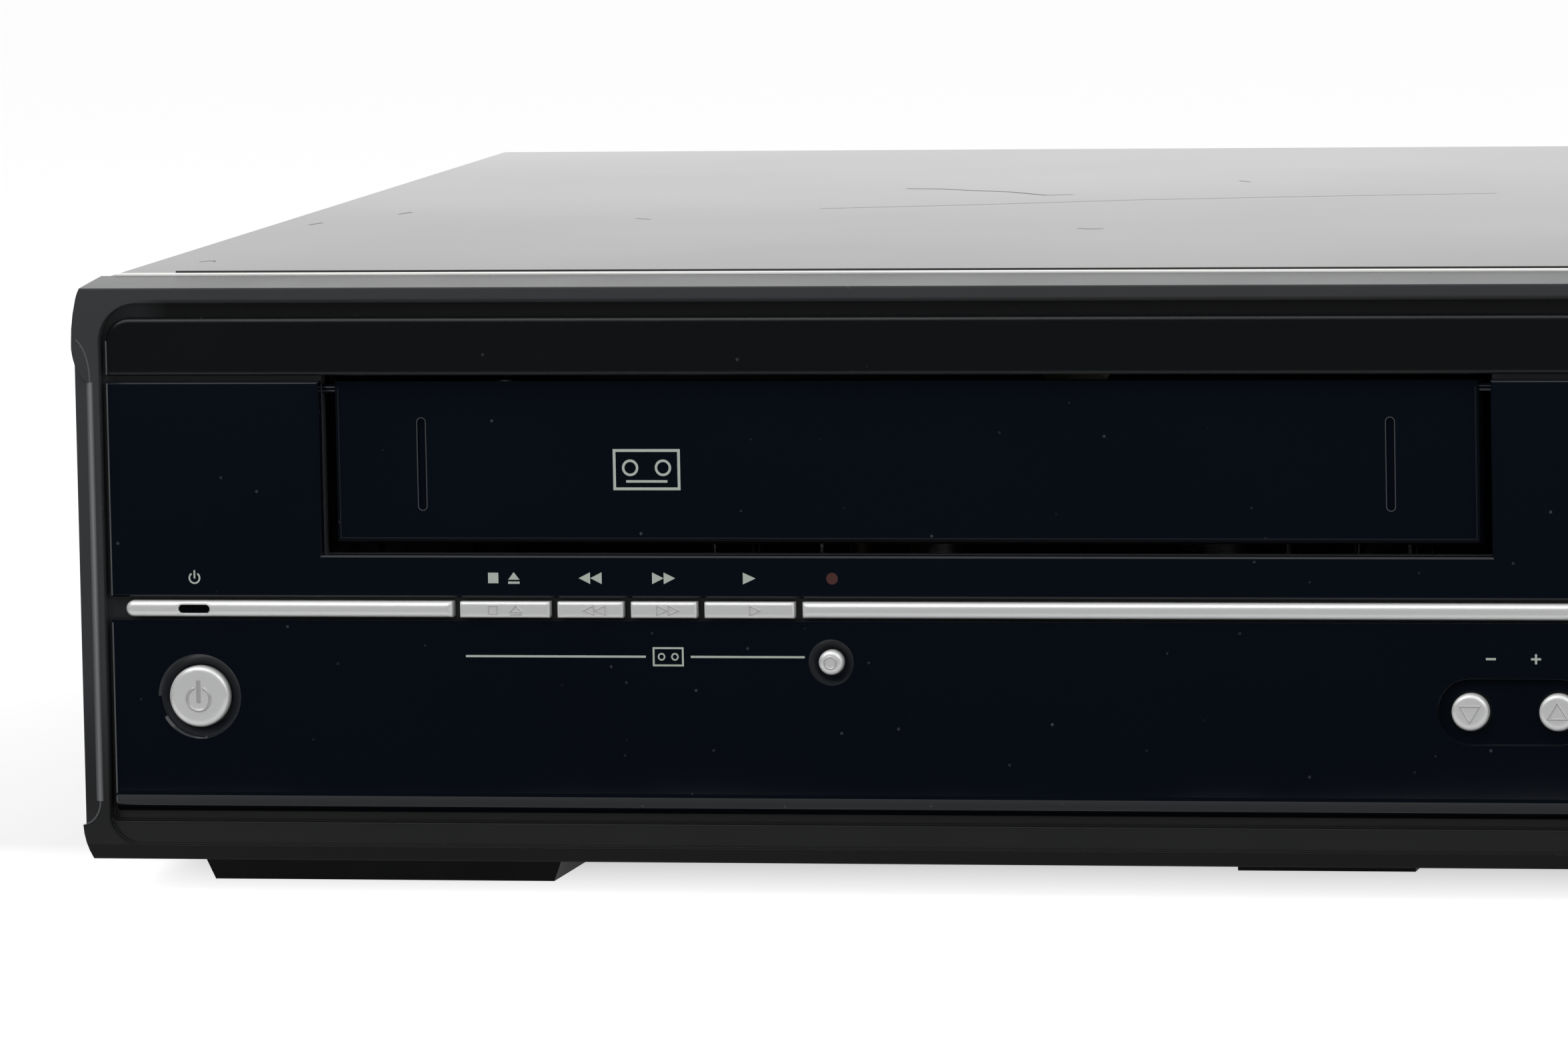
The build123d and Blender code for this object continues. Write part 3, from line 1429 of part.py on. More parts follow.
# Loading motor of the cassette deck: a can with a worm, on a folded clip.
with BuildPart() as loading_motor:
    motor_x = deck_x - deck_half + 20.0
    motor_z = deck_top + 13.0
    with BuildSketch(Plane.XZ.offset(-(deck_rear - 6.0))):
        with Locations((motor_x, motor_z)):
            Circle(11.0)
    extrude(amount=28.0)
    with BuildSketch(Plane.XZ.offset(-(deck_rear - 34.0))):
        with Locations((motor_x, motor_z)):
            Circle(3.0)
    extrude(amount=12.0)
    with BuildSketch(Plane.XY.offset(deck_top)):
        with Locations((motor_x, deck_rear - 20.0)):
            Rectangle(18.0, 14.0)
    extrude(amount=motor_z - deck_top)
finish(loading_motor.part, "loading_motor")

# Disc loader: a moulded tray-shaped frame, open at the front, with a ledge for each side rail
# and the post of the tray gear.
loader_front = front + loader_front_setback
tray_low = tray_bottom
tray_high = tray_bottom + tray_thickness
gear_radius = gear_module * gear_teeth / 2
rack_line = tray_center - tray_half + rack_inset + rack_depth
gear_x = rack_line + gear_radius
gear_y = front + gear_setback
loader_top = tray_high + 5.0
disc_y = front + disc_setback
with BuildPart() as loader_frame:
    with BuildSketch(Plane.XY.offset(loader_floor)):
        with Locations((tray_center, (loader_front + loader_rear) / 2)):
            Rectangle(2 * loader_half, loader_rear - loader_front)
    extrude(amount=loader_top - loader_floor)
    with BuildSketch(Plane.XY.offset(loader_floor + loader_wall)):
        with Locations((tray_center, (loader_front - loader_wall + loader_rear - loader_wall) / 2)):
            Rectangle(2 * (loader_half - loader_wall), loader_rear - loader_front)
    extrude(amount=loader_top, mode=Mode.SUBTRACT)
    # ledges that carry the tray
    for side in (-1, 1):
        with BuildSketch(Plane.XY.offset(loader_floor + loader_wall)):
            with Locations(
                (
                    tray_center + side * (loader_half - loader_wall - 3.4),
                    (loader_front + loader_rear) / 2,
                )
            ):
                Rectangle(6.8, loader_rear - loader_front)
        extrude(amount=tray_low - joint_gap - loader_floor - loader_wall)
    # window in the floor, so that the front of the pickup unit can sink
    window_front = front + traverse_front_setback - 4.0
    window_rear = traverse_pivot_y - 8.0
    with BuildSketch(Plane.XY.offset(loader_floor)):
        with Locations((tray_center, (window_front + window_rear) / 2)):
            RectangleRounded(2 * (traverse_half + 1.5), window_rear - window_front, 4.0)
    extrude(amount=loader_wall, mode=Mode.SUBTRACT)
    # post of the tray gear, and the two pivots of the pickup unit
    with BuildSketch(Plane.XY.offset(loader_floor + loader_wall)):
        with Locations((gear_x, gear_y)):
            Circle(3.0)
    extrude(amount=gear_low - loader_floor - loader_wall - joint_gap)
    with BuildSketch(Plane.XY.offset(loader_floor + loader_wall)):
        with Locations((gear_x, gear_y)):
            Circle(reel_shaft_radius)
    extrude(amount=gear_low + gear_height - loader_floor - loader_wall)
    for side in (-1, 1):
        ear = Plane(
            origin=(tray_center + side * (traverse_half + joint_gap), 0, 0),
            x_dir=(0, side, 0),
            z_dir=(side, 0, 0),
        )
        with BuildSketch(ear):
            with Locations((side * traverse_pivot_y, (loader_floor + ear_top) / 2)):
                Rectangle(8.0, ear_top - loader_floor)
            with Locations((side * traverse_pivot_y, traverse_pivot_z)):
                Circle(1.5 + shaft_gap, mode=Mode.SUBTRACT)
        extrude(amount=4.0)
finish(loader_frame.part, "loader_frame")

# Disc tray: a flat moulding with a large and a small disc recess, a slot for the pickup that
# runs out at the back, and a toothed rack under its left edge.
tooth_pitch = pi * gear_module
tooth_addendum = tooth_height * gear_module
tooth_root = tooth_addendum + 0.35
pressure_slope = tan(radians(20))
tooth_thickness = tooth_pitch / 2 - tooth_play
root_thickness = tooth_thickness + 2 * tooth_root * pressure_slope
tip_thickness = tooth_thickness - 2 * tooth_addendum * pressure_slope
tray_front = front + panel_setback + fascia_thickness
with BuildPart() as disc_tray:
    with BuildSketch(Plane.XY.offset(tray_low)):
        with Locations((tray_center, (tray_front + tray_rear) / 2)):
            Rectangle(2 * tray_half, tray_rear - tray_front)
    extrude(amount=tray_thickness)
    for radius, drop in (
        (disc_recess_radius, disc_recess_depth),
        (small_recess_radius, disc_recess_depth + small_recess_depth),
    ):
        with BuildSketch(Plane.XY.offset(tray_high)):
            with Locations((tray_center, disc_y)):
                Circle(radius)
        extrude(amount=-drop, mode=Mode.SUBTRACT)
    # slot for the turntable and the pickup
    with BuildSketch(Plane.XY.offset(tray_low)):
        with Locations((tray_center, disc_y)):
            Circle(tray_slot_half)
        with Locations((tray_center, (disc_y + tray_rear + 1) / 2)):
            Rectangle(2 * tray_slot_half, tray_rear + 1 - disc_y)
    extrude(amount=tray_thickness, mode=Mode.SUBTRACT)
    # finger scallops beside the disc
    with BuildSketch(Plane.XY.offset(tray_high)):
        with Locations((tray_center, disc_y)):
            with Locations((-disc_recess_radius + 8.0, 0), (disc_recess_radius - 8.0, 0)):
                Circle(10.0)
    extrude(amount=-disc_recess_depth, mode=Mode.SUBTRACT)
    # rack: a straight back and one tooth for every pitch of the travel
    first_tooth = -3
    last_tooth = tray_steps + 3
    with BuildSketch(Plane.XY.offset(gear_low)):
        rack_low = gear_y + (first_tooth - 0.5) * tooth_pitch
        rack_high = gear_y + (last_tooth - 0.5) * tooth_pitch
        with Locations((rack_line - (rack_depth + tooth_root) / 2, (rack_low + rack_high) / 2)):
            Rectangle(rack_depth - tooth_root, rack_high - rack_low)
        with BuildLine():
            Polyline(
                (rack_line - tooth_root, rack_low),
                *[
                    (rack_line + reach, gear_y + step * tooth_pitch + end * thick / 2)
                    for step in range(first_tooth, last_tooth)
                    for end, reach, thick in (
                        (-1, -tooth_root, root_thickness),
                        (-1, tooth_addendum, tip_thickness),
                        (1, tooth_addendum, tip_thickness),
                        (1, -tooth_root, root_thickness),
                    )
                ],
                (rack_line - tooth_root, rack_high),
                (rack_line - tooth_root - 0.5, rack_high),
                (rack_line - tooth_root - 0.5, rack_low),
                close=True,
            )
        make_face()
    extrude(amount=tray_low - gear_low)
finish(disc_tray.part, "disc_tray")

# Tray fascia: the glossy front that closes the tray mouth.
fascia_bottom = tray_mouth_bottom + fascia_gap
fascia_top = main_top - 0.2
with BuildPart() as tray_fascia:
    with BuildSketch(facing(panel_setback + fascia_thickness)):
        with Locations((tray_center, (fascia_bottom + fascia_top) / 2)):
            Rectangle(tray_mouth_width - 2 * fascia_gap, fascia_top - fascia_bottom)
    extrude(amount=fascia_thickness)
    chamfer(tray_fascia.faces().sort_by(Axis.Y)[0].edges(), 0.5)
finish(tray_fascia.part, "tray_fascia")

# Tray gear: a spur gear on the frame's post, in mesh with the rack.
with BuildPart() as tray_gear:
    base_radius = gear_radius * cos(radians(20))
    tip_radius = gear_radius + tooth_addendum
    root_radius = gear_radius - tooth_root
    pitch_angle = tooth_thickness / 2 / gear_radius
    tip_pressure = acos(base_radius / tip_radius)
    flank = (tan(tip_pressure) - tip_pressure) - (tan(radians(20)) - radians(20))
    outline = []
    for tooth in range(gear_teeth):
        middle = pi + (tooth + 0.5) * 2 * pi / gear_teeth
        for offset_angle, radius in (
            (-pitch_angle - 0.02, root_radius),
            (-pitch_angle, gear_radius),
            (-pitch_angle + flank, tip_radius),
            (pitch_angle - flank, tip_radius),
            (pitch_angle, gear_radius),
            (pitch_angle + 0.02, root_radius),
        ):
            outline.append(
                (radius * cos(middle + offset_angle), radius * sin(middle + offset_angle))
            )
    with BuildSketch(Plane(origin=(gear_x, gear_y, gear_low))):
        with BuildLine():
            Polyline(*outline, close=True)
        make_face()
        Circle(reel_shaft_radius + shaft_gap, mode=Mode.SUBTRACT)
    extrude(amount=gear_height)
finish(tray_gear.part, "tray_gear")

# Pickup unit: a plate hinged at its rear, with four pillars for the guide rods.
traverse_top = traverse_bottom + traverse_thickness
traverse_front = front + traverse_front_setback
rod_z = traverse_top + 3.0
rod_front = disc_y + 9.0
pickup_y = disc_y + 12.0 + 2.0 + pickup_depth / 2
rod_rear = pickup_y + pickup_depth / 2 + pickup_travel + 6.0
traverse_rear = rod_rear + 4.0
rod_x = [tray_center - pickup_rod_pitch / 2, tray_center + pickup_rod_pitch / 2]
with BuildPart() as traverse:
    with BuildSketch(Plane.XY.offset(traverse_bottom)):
        with Locations((tray_center, (traverse_front + traverse_rear) / 2)):
            RectangleRounded(2 * traverse_half, traverse_rear - traverse_front, 3.0)
        with Locations((tray_center, disc_y + 46.0)):
            RectangleRounded(30.0, 38.0, 3.0, mode=Mode.SUBTRACT)
    extrude(amount=traverse_thickness)
    with BuildSketch(Plane.XY.offset(traverse_top)):
        for x in rod_x:
            with Locations((x, rod_front), (x, rod_rear)):
                Rectangle(6.0, 4.0)
    extrude(amount=6.0)
    for x in rod_x:
        with BuildSketch(Plane.XZ.offset(-(rod_front - 3.0))):
            with Locations((x, rod_z)):
                Circle(pickup_rod_radius + shaft_gap)
        extrude(amount=-(rod_rear - rod_front + 6.0), mode=Mode.SUBTRACT)
    for side in (-1, 1):
        pivot = Plane(
            origin=(tray_center + side * traverse_half, traverse_pivot_y, traverse_pivot_z),
            z_dir=(side, 0, 0),
        )
        with BuildSketch(pivot):
            Circle(1.5)
        extrude(amount=4.0)
finish(traverse.part, "traverse")

# Guide rods of the pickup.
with BuildPart() as pickup_rods:
    for x in rod_x:
        with BuildSketch(Plane.XZ.offset(-(rod_front - 2.0))):
            with Locations((x, rod_z)):
                Circle(pickup_rod_radius)
        extrude(amount=-(rod_rear - rod_front + 4.0))
finish(pickup_rods.part, "pickup_rods")

# Spindle motor: a low can on the plate, with the bearing of the turntable.
motor_height = 6.0
with BuildPart() as spindle_motor:
    with BuildSketch(Plane.XY.offset(traverse_top)):
        with Locations((tray_center, disc_y)):
            Circle(12.0)
            Circle(1.0 + shaft_gap, mode=Mode.SUBTRACT)
    extrude(amount=motor_height)
finish(spindle_motor.part, "spindle_motor")

# Turntable: a hub with a rubber-faced seat and a centring cone.
turn_low = traverse_top + motor_height + joint_gap
with BuildPart() as turntable:
    with BuildSketch(Plane(origin=(tray_center, disc_y, 0), x_dir=(1, 0, 0), z_dir=(0, -1, 0))):
        with BuildLine():
            Polyline(
                (0, traverse_top + 1),
                (1.0, traverse_top + 1),
                (1.0, turn_low),
                (5.0, turn_low),
                (5.0, turntable_seat - 2.0),
                (turntable_radius, turntable_seat - 2.0),
                (turntable_radius, turntable_seat),
                (cone_radius, turntable_seat),
                (cone_radius - 1.0, turntable_seat + cone_height),
                (0, turntable_seat + cone_height),
                close=True,
            )
        make_face()
    revolve(axis=Axis((tray_center, disc_y, 0), (0, 0, 1)))
finish(turntable.part, "turntable")

# Optical pickup: a sled on the two rods, with the lens on top.
with BuildPart() as pickup:
    with BuildSketch(Plane.XY.offset(traverse_top + 0.5)):
        with Locations((tray_center, pickup_y)):
            Rectangle(pickup_rod_pitch + 7.0, pickup_depth)
    extrude(amount=5.5)
    with BuildSketch(Plane.XY.offset(traverse_top + 6.0)):
        with Locations((tray_center, pickup_y)):
            Rectangle(pickup_width, pickup_depth - 4.0)
    extrude(amount=6.5)
    with BuildSketch(Plane.XY.offset(traverse_top + 12.5)):
        with Locations((tray_center, pickup_y)):
            Circle(3.4)
    extrude(amount=1.2)
    for x in rod_x:
        with BuildSketch(Plane.XZ.offset(-(pickup_y - pickup_depth))):
            with Locations((x, rod_z)):
                Circle(pickup_rod_radius + shaft_gap)
        extrude(amount=-2 * pickup_depth, mode=Mode.SUBTRACT)
finish(pickup.part, "pickup")

# Clamp bridge: a plate across the loader, over the middle of the disc.
with BuildPart() as clamp_bridge:
    with BuildSketch(Plane.XY.offset(loader_top)):
        with Locations((tray_center, disc_y)):
            Rectangle(2 * loader_half, bridge_depth)
            Circle(clamp_neck + 1.0, mode=Mode.SUBTRACT)
            with Locations((-40.0, 0), (40.0, 0)):
                RectangleRounded(30.0, 20.0, 4.0, mode=Mode.SUBTRACT)
    extrude(amount=bridge_sheet)
finish(clamp_bridge.part, "clamp_bridge")

# Disc clamp: a puck that hangs in the bridge and turns with the disc.
clamp_low = turntable_seat + cone_height + 0.6
with BuildPart() as disc_clamp:
    with BuildSketch(Plane(origin=(tray_center, disc_y, 0), x_dir=(1, 0, 0), z_dir=(0, -1, 0))):
        with BuildLine():
            Polyline(
                (0, clamp_low),
                (clamp_flange, clamp_low),
                (clamp_flange, clamp_low + 2.5),
                (clamp_neck, clamp_low + 2.5),
                (clamp_neck, loader_top + bridge_sheet + joint_gap),
                (clamp_flange, loader_top + bridge_sheet + joint_gap),
                (clamp_flange - 1, loader_top + bridge_sheet + joint_gap + 2.0),
                (0, loader_top + bridge_sheet + joint_gap + 2.0),
                close=True,
            )
        make_face()
    revolve(axis=Axis((tray_center, disc_y, 0), (0, 0, 1)))
finish(disc_clamp.part, "disc_clamp")
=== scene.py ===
import math
import bpy
from mathutils import Matrix, Vector


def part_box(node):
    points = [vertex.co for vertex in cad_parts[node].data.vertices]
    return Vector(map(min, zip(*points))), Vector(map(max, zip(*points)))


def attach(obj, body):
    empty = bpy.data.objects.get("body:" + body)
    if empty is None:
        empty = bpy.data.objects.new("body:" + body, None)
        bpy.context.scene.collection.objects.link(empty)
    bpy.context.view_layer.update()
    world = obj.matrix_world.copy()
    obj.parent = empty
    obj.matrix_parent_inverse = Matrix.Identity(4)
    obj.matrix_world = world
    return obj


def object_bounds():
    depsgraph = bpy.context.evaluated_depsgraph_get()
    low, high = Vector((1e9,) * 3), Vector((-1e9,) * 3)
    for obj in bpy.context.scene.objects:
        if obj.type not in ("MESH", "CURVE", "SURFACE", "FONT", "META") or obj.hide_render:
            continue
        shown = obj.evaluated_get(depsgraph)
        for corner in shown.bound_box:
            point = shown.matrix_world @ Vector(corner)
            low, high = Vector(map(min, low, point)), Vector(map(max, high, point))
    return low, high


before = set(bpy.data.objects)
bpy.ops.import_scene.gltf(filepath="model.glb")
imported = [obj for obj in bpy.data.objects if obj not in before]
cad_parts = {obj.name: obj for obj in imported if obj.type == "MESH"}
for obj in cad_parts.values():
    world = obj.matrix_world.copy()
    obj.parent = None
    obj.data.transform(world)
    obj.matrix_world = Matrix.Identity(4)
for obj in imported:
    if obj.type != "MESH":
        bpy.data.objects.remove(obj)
cad_low, cad_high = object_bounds()

# Studio. A pale floor that keeps the player's shadow, with painted shade in its glow under the
# player's front edge, a bright soft room behind and above it, and dark cards in front, seen by
# reflections only, as a photographer sets up for glossy black fronts. The camera stands far off
# with a long lens, a little to the right and above.
mm = 0.001
front_y = cad_low.y


def add_mesh(name, points, faces):
    """Make an object from corner points in metres and faces that list them."""
    mesh = bpy.data.meshes.new(name)
    mesh.from_pydata(points, [], faces)
    mesh.update()
    made = bpy.data.objects.new(name, mesh)
    bpy.context.scene.collection.objects.link(made)
    return made


def new_material(name):
    """Make a node material and return it with its nodes, its links and its shader."""
    material = bpy.data.materials.new(name)
    material.use_nodes = True
    nodes = material.node_tree.nodes
    return material, nodes, material.node_tree.links, nodes["Principled BSDF"]


floor_side = 3.0
floor = add_mesh(
    "studio_floor",
    [(x * floor_side, y * floor_side, 0) for x, y in ((-1, -1), (1, -1), (1, 1), (-1, 1))],
    [(0, 1, 2, 3)],
)


def feed(links, source, socket):
    """Set a socket to a number or a colour, or link another node's output to it."""
    if isinstance(source, bpy.types.NodeSocket):
        links.new(source, socket)
    else:
        socket.default_value = source


def position(nodes, links, axis):
    """Where a point of the surface lies along one axis, in metres."""
    spot = nodes.new("ShaderNodeTexCoord")
    along = nodes.new("ShaderNodeSeparateXYZ")
    links.new(spot.outputs["Object"], along.inputs["Vector"])
    return along.outputs[axis]


def graded(nodes, links, value, start, end, low=0.0, high=1.0):
    """A value that goes evenly from low to high while another one goes from start to end."""
    grade = nodes.new("ShaderNodeMapRange")
    grade.inputs["From Min"].default_value = start
    grade.inputs["From Max"].default_value = end
    grade.inputs["To Min"].default_value = low
    grade.inputs["To Max"].default_value = high
    links.new(value, grade.inputs["Value"])
    return grade.outputs["Result"]


def combined(nodes, links, operation, first, second, clamped=False):
    """The sum or the product of two values."""
    both = nodes.new("ShaderNodeMath")
    both.operation = operation
    both.use_clamp = clamped
    feed(links, first, both.inputs[0])
    feed(links, second, both.inputs[1])
    return both.outputs["Value"]


def toned(nodes, links, value, *stops):
    """The colour that belongs to a value, from pairs of a place, 0 to 1, and the colour there."""
    ramp = nodes.new("ShaderNodeValToRGB")
    elements = ramp.color_ramp.elements
    (first, first_tone), *between, (last, last_tone) = stops
    elements[0].position, elements[0].color = first, (*first_tone, 1)
    elements[1].position, elements[1].color = last, (*last_tone, 1)
    for place, tone in between:
        elements.new(place).color = (*tone, 1)
    links.new(value, ramp.inputs["Fac"])
    return ramp.outputs["Color"]


def seen_directly(nodes, links):
    """One for what the camera sees, straight or in a mirror or glass, and zero for other light."""
    path = nodes.new("ShaderNodeLightPath").outputs
    mirrored = combined(
        nodes, links, "ADD", path["Is Glossy Ray"], path["Is Transmission Ray"], clamped=True
    )
    return combined(nodes, links, "ADD", path["Is Camera Ray"], mirrored, clamped=True)


paper, nodes, links, shader = new_material("studio_paper")
shader.inputs["Roughness"].default_value = 0.9
shader.inputs["Specular IOR Level"].default_value = 0.0
paper_fibre = nodes.new("ShaderNodeTexNoise")
paper_fibre.inputs["Scale"].default_value = 900.0
paper_tone = toned(
    nodes, links, paper_fibre.outputs["Fac"], (0.0, (0.54, 0.54, 0.54)), (1.0, (0.57, 0.57, 0.57))
)
links.new(paper_tone, shader.inputs["Base Color"])
shader.inputs["Emission Color"].default_value = (1, 1, 1, 1)
# Painted shade: the glow is weak under the player's front edge and full in front of it, so the
# shadow there fades out.
glow_behind, glow_in_front = 0.46, 0.95
glow_from, glow_to = front_y + 0.062, front_y + 0.004
shadow_fade_glow = graded(
    nodes, links, position(nodes, links, "Y"), glow_from, glow_to, glow_behind, glow_in_front
)
paper_glow = combined(nodes, links, "MULTIPLY", shadow_fade_glow, seen_directly(nodes, links))
links.new(paper_glow, shader.inputs["Emission Strength"])
floor.data.materials.append(paper)


def mixed(nodes, links, amount, colour, other, blend="MIX"):
    """Two colours, mixed by an amount or multiplied."""
    mix = nodes.new("ShaderNodeMix")
    mix.data_type = "RGBA"
    mix.blend_type = blend
    feed(links, amount, mix.inputs["Factor"])
    feed(links, colour, mix.inputs["A"])
    feed(links, other, mix.inputs["B"])
    return mix.outputs["Result"]


card_left, card_right = -0.30, 0.6
card_back, card_front = front_y + 0.03, front_y - 0.115
card_height = 0.14
floor_card_back, floor_card_lift = front_y - 0.002, 0.001
shade_for_matt_light = (0.04, 0.04, 0.04, 1)
for card_name, corners, faces, shade in (
    (
        "studio_card",
        [
            (x, y, z)
            for z in (0, card_height)
            for x, y in ((card_left, card_back), (card_left, card_front), (card_right, card_front))
        ],
        [(0, 1, 4, 3), (1, 2, 5, 4)],
        0.02,
    ),
    (
        "studio_floor_card",
        [
            (card_left, floor_card_back, floor_card_lift),
            (card_left, card_front, floor_card_lift),
            (card_right, card_front, floor_card_lift),
            (card_right, floor_card_back, floor_card_lift),
        ],
        [(0, 1, 2, 3)],
        0.75,
    ),
):
    card = add_mesh(card_name, corners, faces)
    card_paper, nodes, links, shader = new_material(card_name)
    shader.inputs["Roughness"].default_value = 1.0
    shader.inputs["Specular IOR Level"].default_value = 0.0
    path = nodes.new("ShaderNodeLightPath")
    dimmed = mixed(
        nodes, links, path.outputs["Is Diffuse Ray"], (shade, shade, shade, 1), shade_for_matt_light
    )
    links.new(dimmed, shader.inputs["Base Color"])
    card.data.materials.append(card_paper)
    card.visible_camera = False
    card.visible_diffuse = card_name == "studio_floor_card"
    card.visible_shadow = False
    card.visible_transmission = False

room = bpy.data.worlds.new("studio_room")
bpy.context.scene.world = room
room.use_nodes = True
nodes, links = room.node_tree.nodes, room.node_tree.links
nodes.clear()
direction = nodes.new("ShaderNodeTexCoord")
parts = nodes.new("ShaderNodeSeparateXYZ")
links.new(direction.outputs["Generated"], parts.inputs["Vector"])
light_in_front, light_behind = 0.60, 1.0
falloff = nodes.new("ShaderNodeMapRange")
falloff.interpolation_type = "SMOOTHSTEP"
falloff.inputs["From Min"].default_value = -0.75
falloff.inputs["From Max"].default_value = -0.05
falloff.inputs["To Min"].default_value = light_in_front
falloff.inputs["To Max"].default_value = light_behind
links.new(parts.outputs["Y"], falloff.inputs["Value"])
background = nodes.new("ShaderNodeMix")
background.data_type = "FLOAT"
background.inputs["B"].default_value = 1.0
links.new(seen_directly(nodes, links), background.inputs["Factor"])
links.new(falloff.outputs["Result"], background.inputs["A"])
sky = nodes.new("ShaderNodeBackground")
sky.inputs["Color"].default_value = (1, 1, 1, 1)
links.new(background.outputs["Result"], sky.inputs["Strength"])
room_end = nodes.new("ShaderNodeOutputWorld")
links.new(sky.outputs["Background"], room_end.inputs["Surface"])

lamp_aim = Vector((0, 0, 0.05))
for lamp_name, place, size, power in (
    ("key_lamp", (-0.9, -1.3, 1.5), 1.6, 12.0),
    ("fill_lamp", (1.3, -1.2, 0.9), 1.6, 8.0),
):
    light = bpy.data.lights.new(lamp_name, "AREA")
    light.size = size
    light.energy = power
    lamp = bpy.data.objects.new(lamp_name, light)
    lamp.location = place
    lamp.rotation_mode = "QUATERNION"
    lamp.rotation_quaternion = (lamp_aim - Vector(place)).to_track_quat("-Z", "Y")
    bpy.context.scene.collection.objects.link(lamp)

camera_place = (0.2529, -1.8845, 0.2399)
camera_swing, camera_dip, camera_lean = 11.53, -5.78, 1.11
view = bpy.data.cameras.new("photo_camera")
view.sensor_width = 36.0
view.lens = 254.34
view.clip_start = 0.1
view.clip_end = 20.0
camera = bpy.data.objects.new("photo_camera", view)
turn = (
    Matrix.Rotation(math.radians(camera_swing), 3, "Z")
    @ Matrix.Rotation(math.radians(camera_dip), 3, "X")
    @ Matrix.Rotation(math.radians(camera_lean), 3, "Y")
)
to_right, ahead, upward = turn.col[0], turn.col[1], turn.col[2]
camera.matrix_world = Matrix.Translation(camera_place) @ Matrix(
    (to_right, upward, -ahead)
).transposed().to_4x4()
bpy.context.scene.collection.objects.link(camera)
bpy.context.scene.camera = camera
bpy.context.scene.view_settings.view_transform = "Standard"

# Chassis tub and feet. The tub is one black moulding with the posts that carry the boards and
# decks; the feet are moulded rubber, pushed into its floor. The thin pad under the middle gets
# its thickness from a sole.


def finish(
    name, tone, other, roughness,
    spread=0.05, patch=60.0, grain=2500.0, bump=0.00002, metallic=0.0,
    rounded=0.0, dust=0.0, dust_tone=(0.07, 0.075, 0.08),
):
    """A moulded, painted or bare surface: two near tones in patches, uneven gloss and a fine grain.
    Edges can be softened by a small radius, and dust lies on it in specks."""
    material, nodes, links, shader = new_material(name)
    shader.inputs["Metallic"].default_value = metallic
    place = nodes.new("ShaderNodeTexCoord").outputs["Object"]
    patches = nodes.new("ShaderNodeTexNoise")
    patches.inputs["Scale"].default_value = patch
    patches.inputs["Detail"].default_value = 4.0
    links.new(place, patches.inputs["Vector"])
    colour = mixed(nodes, links, patches.outputs["Fac"], (*tone, 1), (*other, 1))
    if dust:
        motes = nodes.new("ShaderNodeTexVoronoi")
        motes.inputs["Scale"].default_value = dust
        links.new(place, motes.inputs["Vector"])
        speck_core, speck_rim = 0.025, 0.065
        speck = graded(nodes, links, motes.outputs["Distance"], speck_core, speck_rim, 1.0, 0.0)
        paleness = nodes.new("ShaderNodeSeparateColor")
        links.new(motes.outputs["Color"], paleness.inputs["Color"])
        weight = combined(nodes, links, "MULTIPLY", speck, paleness.outputs["Red"])
        colour = mixed(nodes, links, weight, colour, (*dust_tone, 1))
    links.new(colour, shader.inputs["Base Color"])
    gloss = graded(
        nodes, links, patches.outputs["Fac"], 0.3, 0.7, roughness - spread, roughness + spread
    )
    links.new(gloss, shader.inputs["Roughness"])
    surface = None
    if rounded:
        edges = nodes.new("ShaderNodeBevel")
        edges.samples = 6
        edges.inputs["Radius"].default_value = rounded
        surface = edges.outputs["Normal"]
    if bump:
        grains = nodes.new("ShaderNodeTexNoise")
        grains.inputs["Scale"].default_value = grain
        links.new(place, grains.inputs["Vector"])
        relief = nodes.new("ShaderNodeBump")
        relief.inputs["Distance"].default_value = bump
        links.new(grains.outputs["Fac"], relief.inputs["Height"])
        if surface:
            links.new(surface, relief.inputs["Normal"])
        surface = relief.outputs["Normal"]
    if surface:
        links.new(surface, shader.inputs["Normal"])
    return material


def dress(material, *node_names):
    """Give CAD nodes their finish."""
    for node_name in node_names:
        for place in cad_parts[node_name].material_slots:
            place.material = material


dress(
    finish("tub_plastic", (0.012, 0.0125, 0.013), (0.008, 0.0085, 0.009), 0.45, bump=0.00004),
    "chassis_base",
)
rubber = finish(
    "foot_rubber", (0.0024, 0.0028, 0.0034), (0.0014, 0.0017, 0.0022), 0.6, bump=0.00005
)
rubber.node_tree.nodes["Principled BSDF"].inputs["Specular IOR Level"].default_value = 0.12
dress(rubber, "feet")
pad_left, pad_right, pad_front, pad_rear = -29.4, -0.6, -141.4, -127.2
pad_foot, pad_root = 3.7, 5.4
pad_corners = (
    (pad_left, pad_front), (pad_right, pad_front), (pad_right, pad_rear), (pad_left, pad_rear)
)
sole = add_mesh(
    "middle_pad_sole",
    [(x * mm, y * mm, z * mm) for z in (pad_foot, pad_root) for x, y in pad_corners],
    [(3, 2, 1, 0), (4, 5, 6, 7), (0, 1, 5, 4), (1, 2, 6, 5), (2, 3, 7, 6), (3, 0, 4, 7)],
)
sole.data.materials.append(rubber)
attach(sole, "chassis")

# Power board and transformer. The board is brown phenolic sheet with black capacitors soldered
# on; the transformer is a stack of varnished core plates, bolted down beside it. The front board
# is cut from the same sheet.
dress(
    finish("phenolic_board", (0.24, 0.13, 0.045), (0.17, 0.09, 0.030), 0.5, patch=200.0),
    "power_board", "front_board",
)
dress(
    finish(
        "varnished_core", (0.10, 0.075, 0.05), (0.05, 0.035, 0.022), 0.4, patch=250.0, metallic=0.5
    ),
    "transformer",
)

# Main board. Glass-fibre laminate with a green lacquer that carries the chips and connectors,
# screwed on the tub's posts.
dress(
    finish("green_laminate", (0.012, 0.085, 0.030), (0.006, 0.045, 0.018), 0.3, patch=300.0),
    "main_board",
)

